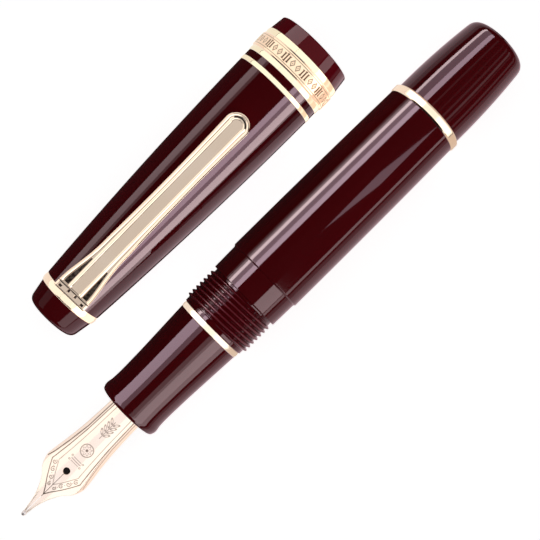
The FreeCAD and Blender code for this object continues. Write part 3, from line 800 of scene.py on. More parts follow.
    def half_sheet(self, side: int) -> tuple[Array, Array, Array]:
        """One half of the nib, from the slit or hole to its edge, as a closed sheet.

        Row p, share v: arc length y runs from the inner edge to the outer edge, the angle is
        arcsin(y / R), and the point is (R sin, top - R + R cos). The underside repeats this
        with R less the thickness. Rows go across the top and back across the underside.

        Args:
            side: -1 or +1.

        Returns:
            Points, faces and the engraving at each point.
        """
        p = self.rows()[:, None]
        half, bend, top = self.size_at(p)
        near = np.abs(p - self.hole_at) < self.hole_rad
        ahead = p < self.hole_at - 0.5 * self.hole_rad
        circle = np.sqrt(np.maximum(self.hole_rad ** 2 - (p - self.hole_at) ** 2, 0.0))
        gap = np.where(ahead, self.slit * smooth(0.9, 1.6, p) + 0.004, 0.0)
        inner = np.where(near, np.maximum(circle, gap), gap)
        share = np.linspace(0.0, 1.0, self.over)
        lower = np.linspace(1.0, 0.0, self.under)
        cols = self.over + self.under
        thick = np.minimum(self.thick, 0.2 + 0.1 * p)
        over = inner + (half - inner) * share
        carve = self.chasing(np.broadcast_to(p, over.shape), over * side) * (p < self.chased)
        roll = 0.05 * (1.0 - smooth(0.0, 0.14, half - over))
        deep = bend - carve * self.depth - roll
        angle = np.arcsin(np.clip(over / bend, 0.0, 0.999))
        under = inner + (half - inner) * lower
        angle_low = np.arcsin(np.clip(under / bend, 0.0, 0.999))
        along = np.broadcast_to(p, (len(p), cols))
        across = np.concatenate([deep * np.sin(angle), (bend - thick) * np.sin(angle_low)], 1)
        up = np.concatenate([deep * np.cos(angle), (bend - thick) * np.cos(angle_low)], 1)
        points = PEN.put(along, across * side, up + top - bend)
        faces = grid_faces(len(p), cols, False, True)
        row = faces.min(axis=1) // cols
        inward = (faces % cols == cols - 1).any(axis=1) & (faces % cols == 0).any(axis=1)
        closed = p[:, 0][np.minimum(row + 1, len(p) - 1)] > self.hole_at + self.hole_rad - 1e-4
        faces = np.concatenate([faces[~(inward & closed)],
                                sheet_ends(len(p), self.over, self.under)])
        if side < 0:
            faces = faces[:, ::-1]
        # The engraving attribute carries the painted shade of the cut lines.
        marks = np.concatenate([carve, np.zeros(under.shape)], axis=1)
        return points, faces, marks.ravel()

    def build(self) -> bpy.types.Object:
        """Join the two halves behind the hole and return the nib."""
        left, right = self.half_sheet(-1), self.half_sheet(1)
        points = np.concatenate([left[0], right[0]])
        faces = np.concatenate([left[1], right[1] + len(left[0])])
        marks = np.concatenate([left[2], right[2]])
        keys = np.round(points * 2e6).astype(np.int64)
        unique, first, inverse = np.unique(keys, axis=0, return_index=True, return_inverse=True)
        faces = inverse.reshape(-1)[faces]
        return make_piece("nib_chased", points[first], faces, {"engraving": marks[first]}, 50.0)

    def tip(self) -> bpy.types.Object:
        """The ball of hard alloy at the tip: a turned drop on its own raised axis."""
        x, y, z = PEN.front
        raised = Axis((x, y, z + self.ball_rise))
        rows = outline([
            Corner(0.0, 0.0), Corner(0.02, 0.33, 0.3, 0.1), Corner(0.62, 0.48, 0.4, 0.1),
            Corner(0.95, 0.40, 0.05, 0.1), Corner(0.95, 0.0)], closed=False)
        return turned("nib_ball", raised, rows, cols=48)


@dataclass
class WritingEnd:
    """The section with its trim ring, the nib and what carries it.

    Attributes:
        mouth: where the section's mouth lies.
        bore: radius of its bore.
        nib: the nib.
    """

    mouth: float = 27.9
    bore: float = 5.12
    nib: Nib = field(default_factory=Nib)

    def section(self) -> bpy.types.Object:
        """The grip: a lip, a quick fall to the waist and a slow flare to the trim ring."""
        waist = np.array([(31.0, 6.50), (32.2, 6.47), (34.0, 6.49), (38.0, 6.60), (42.0, 6.78),
                          (46.0, 6.97)])
        corners = [Corner(self.mouth, self.bore, 0.15), Corner(self.mouth, 6.42, 0.28, 0.2),
                   Corner(28.75, 6.73, 0.35, 0.2), Corner(29.35, 6.73, 0.45, 0.2),
                   Corner(30.1, 6.56, 0.6, 0.3)]
        corners += [Corner(float(t), float(r), 0.8, 0.8) for t, r in waist]
        corners += [Corner(49.88, 7.15, 0.06), Corner(49.88, 5.57), Corner(45.0, 5.57),
                    Corner(45.0, self.bore)]
        return turned("section_grip", PEN, outline(corners), cols=224)

    def ring(self) -> bpy.types.Object:
        """The plated ring behind the section, domed between two small edges."""
        rows = outline([Corner(49.92, 5.57), Corner(49.92, 7.15, 0.07, 0.1, 0.1),
                        Corner(51.08, 7.15, 0.07), Corner(51.08, 5.57)])
        return turned("section_trim", PEN, rows)

    def build(self, shop: Workshop) -> None:
        """Make and dress every piece of the writing end."""
        shop.fit(self.section(), "grip_section", "section", Stock.RESIN, "section")
        shop.fit(self.ring(), "section_ring", "section", Stock.SATIN, "trim")
        shop.fit(self.nib.build(), "nib", "section", Stock.NIB, "nib")
        shop.fit(self.nib.tip(), "nib_tipping", "section", Stock.TIPPING, "nib")
        shop.keep("feed", Stock.EBONITE, "feed")
        shop.keep("nib_housing", Stock.EBONITE)
        shop.keep("section_insert", Stock.BRASS)


# ---------------------------------------------------------------- barrel


@dataclass
class Barrel:
    """The screw-on barrel, its ring and its tail.

    Attributes:
        screw: first and last distance of the cap's screw thread.
        crest: radius of the thread's crests.
        root: radius of its roots.
        pitch: distance between neighbouring crests.
    """

    screw: tuple[float, float] = (52.1, 59.1)
    crest: float = 7.95
    root: float = 7.40
    pitch: float = 1.0

    def _ridge(self, t: Array, a: Array, r: Array) -> tuple[Array, Array]:
        """Where the screw lies, and its height from 0 to 1 with its run-in and run-out."""
        first, last = self.screw
        run = window(first - 0.2, first + 0.3, last - 0.3, last + 0.15, t)
        outside = (r > 7.0) & (t > first - 0.5) & (t < last + 0.4)
        return outside, thread_ridge(t, a, self.pitch, 2) * run

    def _shape(self, t: Array, a: Array, r: Array) -> Array:
        """Radius of the barrel: the outline plus the two-start screw where it runs."""
        outside, ridge = self._ridge(t, a, r)
        return np.where(outside, self.root + (self.crest - self.root) * ridge, r)

    def _crest_mark(self, t: Array, a: Array, r: Array) -> Array:
        """Where light gets into the thin crests of the screw."""
        outside, ridge = self._ridge(t, a, r)
        return np.where(outside, smooth(0.35, 1.0, ridge), 0.0)

    def tube(self) -> bpy.types.Object:
        """The barrel: mouth, screw, collar, step and the slow taper to the ring."""
        rows = outline([
            Corner(51.13, 6.33, 0.1), Corner(51.13, 7.40, 0.1, 0.1), Corner(51.65, 7.40, 0.0, 0.07),
            Corner(59.45, 7.40, 0.0, 0.1), Corner(59.62, 7.40, 0.05, 0.1),
            Corner(59.7, 8.02, 0.12, 0.1), Corner(65.2, 8.12, 0.06, 0.1),
            Corner(65.26, 8.22, 0.05, 0.1), Corner(65.45, 8.40, 0.09), Corner(78.0, 8.40, 3.0),
            Corner(94.0, 8.33, 5.0), Corner(108.36, 8.15, 0.08), Corner(108.36, 5.0),
            Corner(116.0, 5.0, 0.2), Corner(116.0, 0.0)], closed=False)
        inner = outline([
            Corner(106.0, 0.0), Corner(106.0, 5.3, 0.8), Corner(60.0, 5.3), Corner(60.0, 6.33),
            Corner(51.13, 6.33)], closed=False)
        rows = np.concatenate([inner, rows[1:]])
        return turned("barrel_shell", PEN, rows, self._shape, ("crest", self._crest_mark), 256)

    def ring(self) -> bpy.types.Object:
        """The barrel ring: a flat crest between two bevels, the one to the tail steeper."""
        rows = outline([
            Corner(108.4, 5.06), Corner(108.4, 8.12, 0.05), Corner(108.72, 8.36, 0.05, 0.3),
            Corner(109.9, 8.36, 0.05), Corner(110.25, 7.92, 0.05), Corner(110.25, 5.06)])
        return turned("barrel_trim_ring", PEN, rows)

    def tail(self) -> bpy.types.Object:
        """The tail: bowed sides that close in to a softly rounded flat end."""
        rows = outline([
            Corner(116.2, 0.0), Corner(116.2, 5.02), Corner(110.3, 5.02),
            Corner(110.3, 7.8, 0.08, 0.6, 0.27), Corner(130.0, 6.82, 1.95),
            Corner(130.0, 0.0)], closed=False)
        return turned("tail_cap", PEN, rows, cols=224)

    def build(self, shop: Workshop) -> None:
        """Make and dress the barrel's pieces."""
        shop.fit(self.tube(), "barrel", "barrel_body", Stock.SCREW, "barrel")
        shop.fit(self.ring(), "barrel_ring", "barrel_trim", Stock.GOLD, "trim")
        shop.fit(self.tail(), "barrel_tail", "barrel_body", Stock.RESIN, "tail")


# ---------------------------------------------------------------- converter


@dataclass
class Converter:
    """The piston ink converter inside the barrel.

    Attributes:
        flutes: grips around the knob.
        flute: depth of a flute.
        rod: radius of the piston rod.
        rod_pitch: pitch of its screw.
        rod_cut: depth of its screw.
    """

    flutes: int = 24
    flute: float = 0.16
    rod: float = 1.15
    rod_pitch: float = 1.0
    rod_cut: float = 0.16

    def _knurl(self, t: Array, a: Array, r: Array) -> Array:
        """Flutes on the knob's side: r less flute (0.5 - 0.5 cos(n a))^1.5, off at both ends."""
        run = window(88.5, 89.3, 97.0, 97.9, t) * (r > 3.3)
        return r - run * self.flute * (0.5 - 0.5 * np.cos(self.flutes * a)) ** 1.5

    def _rod_screw(self, t: Array, a: Array, r: Array) -> Array:
        """A single-start screw cut into the rod between its plain ends."""
        run = window(64.5, 65.2, 84.8, 85.4, t) * (r > 1.0)
        return r - self.rod_cut * run * (1.0 - thread_ridge(t, a, self.rod_pitch, 1))

    def knob(self) -> bpy.types.Object:
        """The fluted turning knob with its journal."""
        rows = outline([
            Corner(98.2, 0.0), Corner(98.2, 1.22), Corner(83.9, 1.22), Corner(83.9, 2.4, 0.05),
            Corner(88.06, 2.4), Corner(88.06, 3.6, 0.15, 0.25), Corner(99.0, 3.55, 0.5, 0.5),
            Corner(99.0, 0.0)], closed=False)
        return turned("converter_grip_knob", PEN, rows, self._knurl, cols=240)

    def collar(self) -> bpy.types.Object:
        """The bright collar with a pair of turned grooves near each end."""
        grooves: list[Corner] = []
        for at in (80.0, 80.9, 86.1, 87.0):
            grooves += [Corner(at - 0.14, 3.85, 0.03), Corner(at, 3.70, 0.05),
                        Corner(at + 0.14, 3.85, 0.03)]
        rows = outline([
            Corner(81.5, 3.52), Corner(79.0, 3.52), Corner(79.0, 3.85, 0.08), *grooves,
            Corner(88.0, 3.85, 0.08), Corner(88.0, 2.46), Corner(83.8, 2.46), Corner(83.8, 1.25),
            Corner(81.5, 1.25)])
        return turned("converter_bright_collar", PEN, rows, cols=128)

    def screw_rod(self) -> bpy.types.Object:
        """The screwed piston rod, with a row of points for every tenth of a millimetre."""
        rows = outline([Corner(61.5, 0.0), Corner(61.5, self.rod, 0.08, 0.1),
                        Corner(86.0, self.rod, 0.15), Corner(86.0, 0.0)], closed=False)
        spots = np.linspace(61.9, 85.7, 239)
        dense = np.stack([spots, np.full_like(spots, self.rod)], axis=1)
        side = rows[:, 1] > self.rod - 0.0001
        head, tail = rows[~side & (rows[:, 0] < 70.0)], rows[~side & (rows[:, 0] > 70.0)]
        return turned("piston_screw_rod", PEN, np.concatenate([head, dense, tail]),
                      self._rod_screw, cols=64)

    def build(self, shop: Workshop) -> None:
        """Make and dress the converter's pieces."""
        shop.fit(self.knob(), "converter_knob", "knob", Stock.EBONITE, "inner")
        shop.fit(self.collar(), "converter_collar", "converter", Stock.STEEL, "inner")
        shop.fit(self.screw_rod(), "piston_rod", "piston", Stock.STEEL, "inner")
        shop.keep("converter_mouth", Stock.EBONITE)
        shop.keep("converter_tube", Stock.TUBE)
        shop.keep("piston_seal", Stock.RUBBER)


# ---------------------------------------------------------------- cap


@dataclass
class Clip:
    """The sprung clip: a flat panel between double rails that follow its outline.

    Attributes:
        first: distance where its base begins.
        last: distance where its round end closes.
        end_at: centre of the round end.
        end_half: its radius.
        panel: half width of the flat panel.
        rail: width of one rail.
        sink: depth of the lines between rails and of the panel.
        base_half: half width of the base.
        waist_half: half width at the waist.
        waist_at: where the waist lies.
        flare_end: where the flare of the base runs out.
        relief_from: where the panel and its rails begin.
        over: points across the top.
        under: points back across the underside.
    """

    first: float = 6.35
    last: float = 54.0
    end_at: float = 51.42
    end_half: float = 2.58
    panel: float = 1.0
    rail: float = 0.66
    sink: float = 0.16
    base_half: float = 3.75
    waist_half: float = 2.36
    waist_at: float = 37.0
    flare_end: float = 20.5
    relief_from: float = 8.15
    over: int = 97
    under: int = 15

    def half_width(self, c: Array) -> Array:
        """Half width: flared base, concave neck, narrow waist, round end."""
        flare = 2.62 + 1.13 * (1.0 - smooth(7.6, self.flare_end, c)) ** 1.5
        arm = np.clip(c, self.flare_end, self.end_at) - self.waist_at
        waist = self.waist_half + 0.26 * (arm / 16.5) ** 2
        base = np.where(c < 8.0, self.base_half, np.where(c < self.flare_end, flare, waist))
        tip = np.sqrt(np.maximum(self.end_half ** 2 - (c - self.end_at) ** 2, 0.0))
        return np.where(c > self.end_at, tip, base)

    def top(self, c: Array) -> Array:
        """Top line seen from the side: 8.2 + 2.55 s + 4.08 s (1 - s), then a fall to the tip."""
        s = np.clip((c - self.first) / 45.05, 0.0, 1.0)
        arch = 8.2 + 2.55 * s + 4.0 * 1.02 * s * (1.0 - s)
        whole = float(smooth(50.4, 54.4, np.array(self.last)))
        return arch - 0.65 * smooth(50.4, 54.4, c) / whole

    def underside(self, c: Array, y: Array) -> Array:
        """Underside: the saddle over the cap at the base, the arched arm and the foot."""
        s = np.clip((c - 13.0) / 34.5, 0.0, 1.0)
        arm = 8.15 + 1.45 * s + 4.0 * 0.49 * s * (1.0 - s)
        root = np.interp(c, (self.first, 8.6, 13.0), (5.6, 5.6, 8.15))
        foot = np.interp(c, (47.5, 49.3, 52.0, self.last), (9.6, 8.95, 8.95, 9.6))
        line = np.where(c < 13.0, root, np.where(c > 47.5, foot, arm))
        saddle = np.interp(c, (4.25, 13.0), (6.95, 7.4))
        curve = np.sqrt(np.maximum(saddle ** 2 - y * y, 0.0))
        return np.where(c < 13.0, np.maximum(line, curve), line)

    def relief(self, c: Array, y: Array, half: Array) -> tuple[Array, Array]:
        """Depth below the top line and the painted dark reflection in its pockets and lines, over
        the plan of the clip.

        The distance d to the outline and the distance q from the panel's edge drive the rails:
        each rail is a raised half cosine, with a line between neighbours. Where the base flares,
        the two rails part and leave a deep three-cornered pocket.

        Args:
            c: distance from the closed end.
            y: signed offset.
            half: half width at c.

        Returns:
            Depth in millimetres and the pocket mark of painted dark reflection, from 0 to 1.
        """
        side = np.abs(y)
        reach = np.hypot(np.maximum(c - self.end_at, 0.0), side)
        round_end = c > self.end_at
        to_edge = np.where(round_end, self.end_half - reach, half - side)
        widening = 0.18 * (half - self.waist_half) * (c > 30.0)
        from_panel = np.where(round_end, reach - (self.end_half - 2 * self.rail - 0.1),
                              side - (self.panel + widening))
        from_panel = np.maximum(from_panel, self.relief_from - c)
        rail_out = np.sin(math.pi * np.clip(to_edge / self.rail, 0.04, 1.0))
        rail_in = np.sin(math.pi * np.clip(from_panel / self.rail, 0.0, 1.0))
        between = (to_edge > self.rail) & (from_panel > self.rail)
        depth = self.sink * (1.0 - np.where(to_edge < self.rail, rail_out, rail_in))
        depth = np.where(from_panel <= 0.0, self.sink * 0.95, depth)
        depth = np.where(between & (c >= self.relief_from), self.sink, depth)
        gap = np.minimum(to_edge, from_panel) - self.rail
        # The deep hole between the rails at the base is cut and also painted with dark reflection.
        hole = smooth(0.02, 0.22, gap) * between * (c > 8.1) * (c < 15.0)
        base = smooth(self.relief_from - 0.2, self.relief_from, c)
        depth = (depth + 0.45 * hole) * base
        # Painted dark reflection along the rail lines, painted darker on the -Y side than on +Y.
        painted_side_shade = np.where(y < 0.0, 1.0, 0.5) * (c > 8.4)
        line = highest(*(stroke(off, 0.09, 0.05) * painted_side_shade
                         for off in (to_edge - self.rail, from_panel - 0.05)))
        mark = np.maximum(hole, line * base * 0.9)
        # The three-cornered pockets are cut and also painted with dark reflection.
        for at, off, deep, wide in ((7.0, 2.75, 0.36, 0.42), (7.35, 0.85, 0.4, 0.32)):
            pocket = (smooth(-deep, -deep + 0.14, -np.abs(c - at))
                      * smooth(-wide, -wide + 0.14, -np.abs(side - off)))
            depth = depth + 0.4 * pocket
            mark = np.maximum(mark, pocket)
        # The tie bar is raised and painted with dark reflection.
        bar = stroke(c - 7.78, 0.12, 0.08)
        rounding = (0.22 * (1.0 - smooth(0.0, 0.3, to_edge))
                    + 0.15 * (1.0 - smooth(self.first, 6.6, c)))
        return depth + 0.14 * bar + rounding, np.maximum(mark, 0.75 * bar)

    def build(self) -> bpy.types.Object:
        """A closed loop of points across the top and back beneath, carried along the clip."""
        turn = np.linspace(0.0, math.pi / 2.0, 40)
        c = np.concatenate([np.linspace(self.first, 9.0, 44, endpoint=False),
                            np.arange(9.0, self.end_at, 0.14),
                            self.end_at + self.end_half * np.sin(turn) * 0.99999])[:, None]
        half = self.half_width(c)
        above = half * np.linspace(-1.0, 1.0, self.over)
        below = half * np.linspace(1.0, -1.0, self.under)
        spots = np.broadcast_to(c, above.shape)
        depth, mark = self.relief(spots, above, np.broadcast_to(half, above.shape))
        low = self.underside(np.broadcast_to(c, below.shape), below)
        up = np.concatenate([self.top(spots) - depth, np.minimum(low, self.top(c) - 0.5)], 1)
        across = np.concatenate([above, below], 1)
        points = CAP.put(np.broadcast_to(c, across.shape), across, up)
        faces = np.concatenate([grid_faces(*across.shape, False, True),
                                sheet_ends(len(c), self.over, self.under)])
        # The pocket mark carries painted dark reflection, on the top only.
        marks = np.concatenate([mark, np.zeros(below.shape)], axis=1)
        return make_piece("cap_clip", points, faces, {"pocket": marks.ravel()}, 46.0)


@dataclass
class Cap:
    """The cap: tube, finial, clip, inner cap and the rings and band at its mouth.

    Attributes:
        start: where the visible tube begins.
        stop: where it meets the thin ring.
        nut: radius of the inner screw's crests.
        nut_deep: depth of that screw.
        bays: repeats of the frieze around the band.
        frieze_at: the middle of the frieze.
        frieze_deep: depth of the frieze.
        band_rad: radius of the band.
        clip: the clip.
    """

    start: float = 6.33
    stop: float = 62.04
    nut: float = 7.65
    nut_deep: float = 0.38
    bays: int = 12
    frieze_at: float = 67.25
    frieze_deep: float = 0.07
    band_rad: float = 9.2
    clip: Clip = field(default_factory=Clip)

    def _nut(self, t: Array, a: Array, r: Array) -> Array:
        """Radius inside the mouth, where a two-start screw is cut outwards from its crests."""
        inside = (r < 7.7) & (r > 7.6) & (t > 60.35) & (t < 67.75)
        cut = window(60.4, 60.8, 67.3, 67.7, t) * (1.0 - thread_ridge(t, a, 1.0, 2))
        return np.where(inside, self.nut + self.nut_deep * cut, r)

    def tube(self) -> bpy.types.Object:
        """The cap tube, bowed a little and widening to the mouth, with its bore and screw."""
        rows = outline([
            Corner(1.6, 0.0), Corner(1.6, 4.4), Corner(self.start, 4.4),
            Corner(self.start, 6.6, 0.1, 0.9, 0.42), Corner(self.stop, 8.85, 0.06),
            Corner(self.stop, 8.5), Corner(71.5, 8.5), Corner(71.5, 8.15), Corner(67.8, 8.15),
            Corner(67.8, self.nut, 0.0, 0.085), Corner(60.3, self.nut), Corner(60.3, 7.45),
            Corner(36.2, 7.45), Corner(36.2, 6.4), Corner(16.0, 6.4), Corner(6.6, 3.56),
            Corner(2.9, 3.56), Corner(2.9, 0.0)], closed=False)
        return turned("cap_shell", CAP, rows, self._nut, cols=240)

    def finial(self) -> bpy.types.Object:
        """The closed end: a slightly crowned face rolling over into a short cone."""
        rows = outline([
            Corner(0.0, 0.0, 0.0, 0.4), Corner(0.0, 5.52, 1.35, 0.3), Corner(4.66, 6.35, 0.07),
            Corner(4.66, 4.45), Corner(1.45, 4.45), Corner(1.45, 0.0)], closed=False)
        return turned("cap_end", CAP, rows, cols=224)

    @staticmethod
    def trim(name: str, start: float, stop: float, bore: float, rad: float,
             dome: float) -> bpy.types.Object:
        """A plated ring with a domed rim.

        Args:
            name: the piece's name.
            start: near side.
            stop: far side.
            bore: inner radius.
            rad: radius at both edges.
            dome: how far the rim bows out.

        Returns:
            The ring.
        """
        rows = outline([Corner(start, bore), Corner(start, rad, 0.06, 0.12, dome),
                        Corner(stop, rad, 0.06), Corner(stop, bore)])
        return turned(name, CAP, rows)

    def frieze(self, t: Array, a: Array, r: Array) -> Array:
        """A plain repeating frieze around the band, as 0 to 1.

        Each bay holds three upright bars between lozenges; a fine line runs along both edges.

        Args:
            t: distance along the cap.
            a: angle around it.
            r: radius.

        Returns:
            The strength of the cut, which sets both its depth and its painted shade.
        """
        aside = np.abs(t - self.frieze_at)
        around = (np.mod(a * self.bays / TURN, 1.0) - 0.5) * TURN * self.band_rad / self.bays
        bars = ((-0.62, 0.62), (0.0, 0.8), (0.62, 0.62))
        diamond = np.abs(np.abs(around) - 1.72) / 0.5 + aside / 0.78
        cut = highest(
            *(stroke(around - off, 0.24, 0.07) * smooth(-half - 0.08, -half, -aside)
              for off, half in bars),
            *(stroke(aside - half, 0.1, 0.06) * stroke(around - off, 0.44, 0.06)
              for off, half in bars),
            0.7 * stroke(aside - 1.12, 0.08, 0.05),
            0.8 * stroke((diamond - 0.85) * 0.4, 0.12, 0.06),
            0.8 * (1.0 - smooth(0.18, 0.34, diamond)))
        return cut * (r > self.band_rad - 0.05) * (aside < 1.35)

    def band(self) -> bpy.types.Object:
        """The wide chased band: the frieze is cut into its rim."""
        rows = outline([
            Corner(65.57, 8.52), Corner(65.57, 9.0, 0.03, 0.06),
            Corner(65.8, self.band_rad, 0.05, 0.075), Corner(68.7, self.band_rad, 0.05, 0.06),
            Corner(68.93, 9.0, 0.03), Corner(68.93, 8.52)])
        # The frieze attribute carries the painted shade of the cuts.
        return turned("cap_chased_band", CAP, rows,
                      lambda t, a, r: r - self.frieze_deep * self.frieze(t, a, r),
                      ("frieze", self.frieze), 960)

    def lip(self) -> bpy.types.Object:
        """The resin lip at the mouth, with a slow taper and a rounded edge."""
        rows = outline([
            Corner(70.22, 8.52), Corner(70.22, 8.84, 0.06), Corner(73.38, 8.44, 0.06),
            Corner(73.5, 8.33, 0.06), Corner(73.5, 8.15), Corner(71.5, 8.15), Corner(71.5, 8.52)])
        return turned("cap_mouth_lip", CAP, rows)

    def spacer(self) -> bpy.types.Object:
        """The short resin sleeve between the thin ring and the rim."""
        rows = outline([Corner(63.0, 8.52), Corner(63.0, 8.85, 0.05, 0.1, 0.015),
                        Corner(64.46, 8.86, 0.05), Corner(64.46, 8.52)])
        return turned("cap_sleeve", CAP, rows)

    def build(self, shop: Workshop) -> None:
        """Make and dress every piece of the cap."""
        body = "cap_body"
        shop.fit(self.tube(), "cap_tube", body, Stock.RESIN, "cap")
        shop.fit(self.finial(), "cap_finial", body, Stock.RESIN, "finial")
        shop.fit(self.spacer(), "cap_spacer", body, Stock.RESIN, "cap")
        shop.fit(self.lip(), "cap_lip", body, Stock.LIP, "lip")
        rings = (("clip_ring_trim", "clip_ring", 4.70, 6.30, 4.5, 6.55, 0.14, Stock.GOLD),
                 ("cap_fine_ring", "cap_thin_ring", 62.06, 62.96, 8.52, 8.93, 0.05, Stock.PALE),
                 ("cap_rim_near", "cap_rim_body", 64.5, 65.53, 8.52, 8.97, 0.05, Stock.PALE),
                 ("cap_rim_far", "cap_rim_lip", 68.97, 70.18, 8.52, 8.97, 0.06, Stock.PALE))
        for name, node, start, stop, bore, rad, dome, stock in rings:
            ring = self.trim(name, start, stop, bore, rad, dome)
            shop.fit(ring, node, body, stock, "rims")
        shop.fit(self.band(), "cap_band", body, Stock.BAND, "rims")
        shop.fit(self.clip.build(), "clip", "clip_arm", Stock.CLIP, "clip")
        shop.keep("inner_cap", Stock.EBONITE)


# ---------------------------------------------------------------- studio


WHITE, COOL = (1.0, 1.0, 1.0), (1.0, 0.97, 1.0)
WARM, PEACH = (1.0, 0.96, 0.90), (1.0, 0.82, 0.70)
ROSE, LILAC, PINK = (1.0, 0.78, 0.81), (1.0, 0.74, 0.88), (1.0, 0.74, 0.80)
METAL = ("trim", "rims", "nib", "inner", "clip")
PEN_RESIN = ("barrel", "tail", "section")
CAP_RESIN = ("cap", "lip", "finial")
TENT = 0.32


@dataclass(frozen=True)
class Softbox:
    """A long rectangular light that lies parallel to an item's axis.

    Attributes:
        name: the light's name.
        groups: the lighting groups that it reaches.
        low: where it begins, degrees from upright towards +Y as seen from the axis.
        high: where it ends.
        strength: its radiance.
        tint: its colour.
        near: lowest X in metres.
        far: highest X in metres.
        axis: the item's axis.
        reach: its distance from the axis in metres.
        shine: whether it shows in gloss; otherwise it only lights the base colour.
        spin: degrees by which it is turned in its own plane, out of line with the axis.
    """

    name: str
    groups: tuple[str, ...]
    low: float
    high: float
    strength: float
    tint: Colour = WHITE
    near: float = -0.32
    far: float = 0.32
    axis: Axis = PEN
    reach: float = 0.30
    shine: bool = True
    spin: float = 0.0


@dataclass
class Studio:
    """The pale floor, the soft lights and the camera.

    Attributes:
        eye: the camera's place, metres.
        aim: what it looks at.
        up: which way is up in the picture.
        lens: focal length in millimetres.
        spread: half the floor's side, metres.
        floor_glow: how much the floor is lifted towards white.
        floor_shade: what it shows in gloss.
        dim: brightness of the surround to all but the camera.
    """

    eye: tuple[float, float, float] = (0.00525, 0.01269, 0.2324)
    aim: tuple[float, float, float] = (-0.00182, 0.01269, 0.0084)
    up: tuple[float, float, float] = (-0.703, -0.7112, 0.0)
    lens: float = 76.6
    spread: float = 4.0
    floor_glow: float = 0.90
    floor_shade: float = 0.02
    dim: float = 0.012

    def camera(self) -> None:
        """Set the camera almost plumb above the pen, which runs from corner to corner."""
        data = bpy.data.cameras.new("camera")
        data.lens, data.sensor_width = self.lens, 36.0
        data.clip_start, data.clip_end = 0.01, 20.0
        item = put_object("camera", data)
        forward = (Vector(self.aim) - Vector(self.eye)).normalized()
        right = forward.cross(Vector(self.up)).normalized()
        above = right.cross(forward)
        turn = Matrix((right, above, -forward)).transposed()
        item.matrix_world = Matrix.Translation(self.eye) @ turn.to_4x4()
        bpy.context.scene.camera = item

    def floor(self, shop: Workshop) -> None:
        """A wide pale floor, a shade brighter to the eye than to what lies on it."""
        size = self.spread
        mesh = bpy.data.meshes.new("floor")
        mesh.from_pydata([(-size, -size, 0), (size, -size, 0), (size, size, 0), (-size, size, 0)],
                         [], [(0, 1, 2, 3)])
        item = put_object("floor", mesh)
        material = bpy.data.materials.new("pale_floor")
        material.use_nodes = True
        graph = Graph(material.node_tree)
        glossy = graph.add("LightPath").outputs["Is Glossy Ray"]
        matte = graph.add("BsdfDiffuse", Color=(0.9, 0.9, 0.9, 1.0))
        glow = graph.add("Emission", Color=(*WHITE, 1.0), Strength=self.floor_glow)
        shade = graph.add("Emission", Color=(*COOL, 1.0), Strength=self.floor_shade)
        seen = graph.fed(graph.add("AddShader"), matte.outputs[0], glow.outputs[0])
        both = graph.fed(graph.add("MixShader"), glossy, seen, shade.outputs[0])
        graph.add("OutputMaterial", Surface=both)
        mesh.materials.append(material)
        shop.groups["floor"] = [item]

    def world(self) -> None:
        """A white surround to the eye and a dim one to everything else."""
        world = bpy.data.worlds.new("surround")
        world.use_nodes = True
        graph = Graph(world.node_tree)
        camera = graph.add("LightPath").outputs["Is Camera Ray"]
        white = graph.add("Background", Color=(*WHITE, 1.0), Strength=1.0)
        dim = graph.add("Background", Color=(*COOL, 1.0), Strength=self.dim)
        both = graph.fed(graph.add("MixShader"), camera, dim.outputs[0], white.outputs[0])
        graph.add("OutputWorld", Surface=both)
        bpy.context.scene.world = world

    def lamp(self, name: str, place: Vector, facing: Vector, wide: float, long: float,
             strength: float, tint: Colour, receivers: bpy.types.Collection,
             shine: bool = True, spin: float = 0.0) -> None:
        """A rectangular light, long side along X unless it is spun.

        Args:
            name: its name.
            place: its centre.
            facing: the direction it shines in.
            wide: its short side.
            long: its long side.
            strength: its radiance; power is radiance times area times pi.
            tint: its colour.
            receivers: what it reaches.
            shine: whether it is seen in gloss only; otherwise it only lights the base colour.
            spin: degrees by which it is turned in its own plane.
        """
        data = bpy.data.lights.new(name, "AREA")
        data.shape, data.size, data.size_y = "RECTANGLE", long, wide
        data.energy = strength * long * wide * math.pi
        data.color = tint
        item = put_object(name, data)
        back = -facing.normalized()
        side = Matrix.Rotation(math.radians(spin), 3, back) @ Vector((1.0, 0.0, 0.0))
        turn = Matrix((side, back.cross(side), back)).transposed()
        item.matrix_world = Matrix.Translation(place) @ turn.to_4x4()
        item.visible_camera = False
        item.visible_diffuse, item.visible_glossy = not shine, shine
        item.light_linking.receiver_collection = receivers

    def gather(self, shop: Workshop, groups: Sequence[str]) -> bpy.types.Collection:
        """A collection of every piece in some lighting groups."""
        name = "lit_" + "_".join(groups)
        found = bpy.data.collections.get(name)
        if found:
            return found
        found = bpy.data.collections.new(name)
        for group in groups:
            for item in shop.groups.get(group, []):
                found.objects.link(item)
        return found

    def place(self, box: Softbox, shop: Workshop) -> None:
        """Hang a softbox at its angle around the axis, facing it."""
        middle = math.radians((box.low + box.high) / 2.0)
        wide = 2.0 * box.reach * math.tan(math.radians((box.high - box.low) / 2.0))
        out = Vector((0.0, math.sin(middle), math.cos(middle)))
        core = Vector((0.0, box.axis.front[1] * MM, box.axis.front[2] * MM))
        place = core + out * box.reach
        place.x = (box.near + box.far) / 2.0
        self.lamp(box.name, place, -out, wide, box.far - box.near, box.strength, box.tint,
                  self.gather(shop, box.groups), box.shine, box.spin)

    def sheet(self, shop: Workshop, name: str, groups: tuple[str, ...], low: float, high: float,
              height: float, strength: float, tint: Colour) -> None:
        """A glow that lies just above the floor and lights pieces from below.

        Args:
            shop: where the groups are kept.
            name: its name.
            groups: the lighting groups that it reaches.
            low: lowest Y in metres.
            high: highest Y in metres.
            height: its height.
            strength: its radiance.
            tint: its colour.
        """
        place = Vector((0.0, (low + high) / 2.0, height))
        self.lamp(name, place, Vector((0.0, 0.0, 1.0)), high - low, 0.5, strength, tint,
                  self.gather(shop, groups))

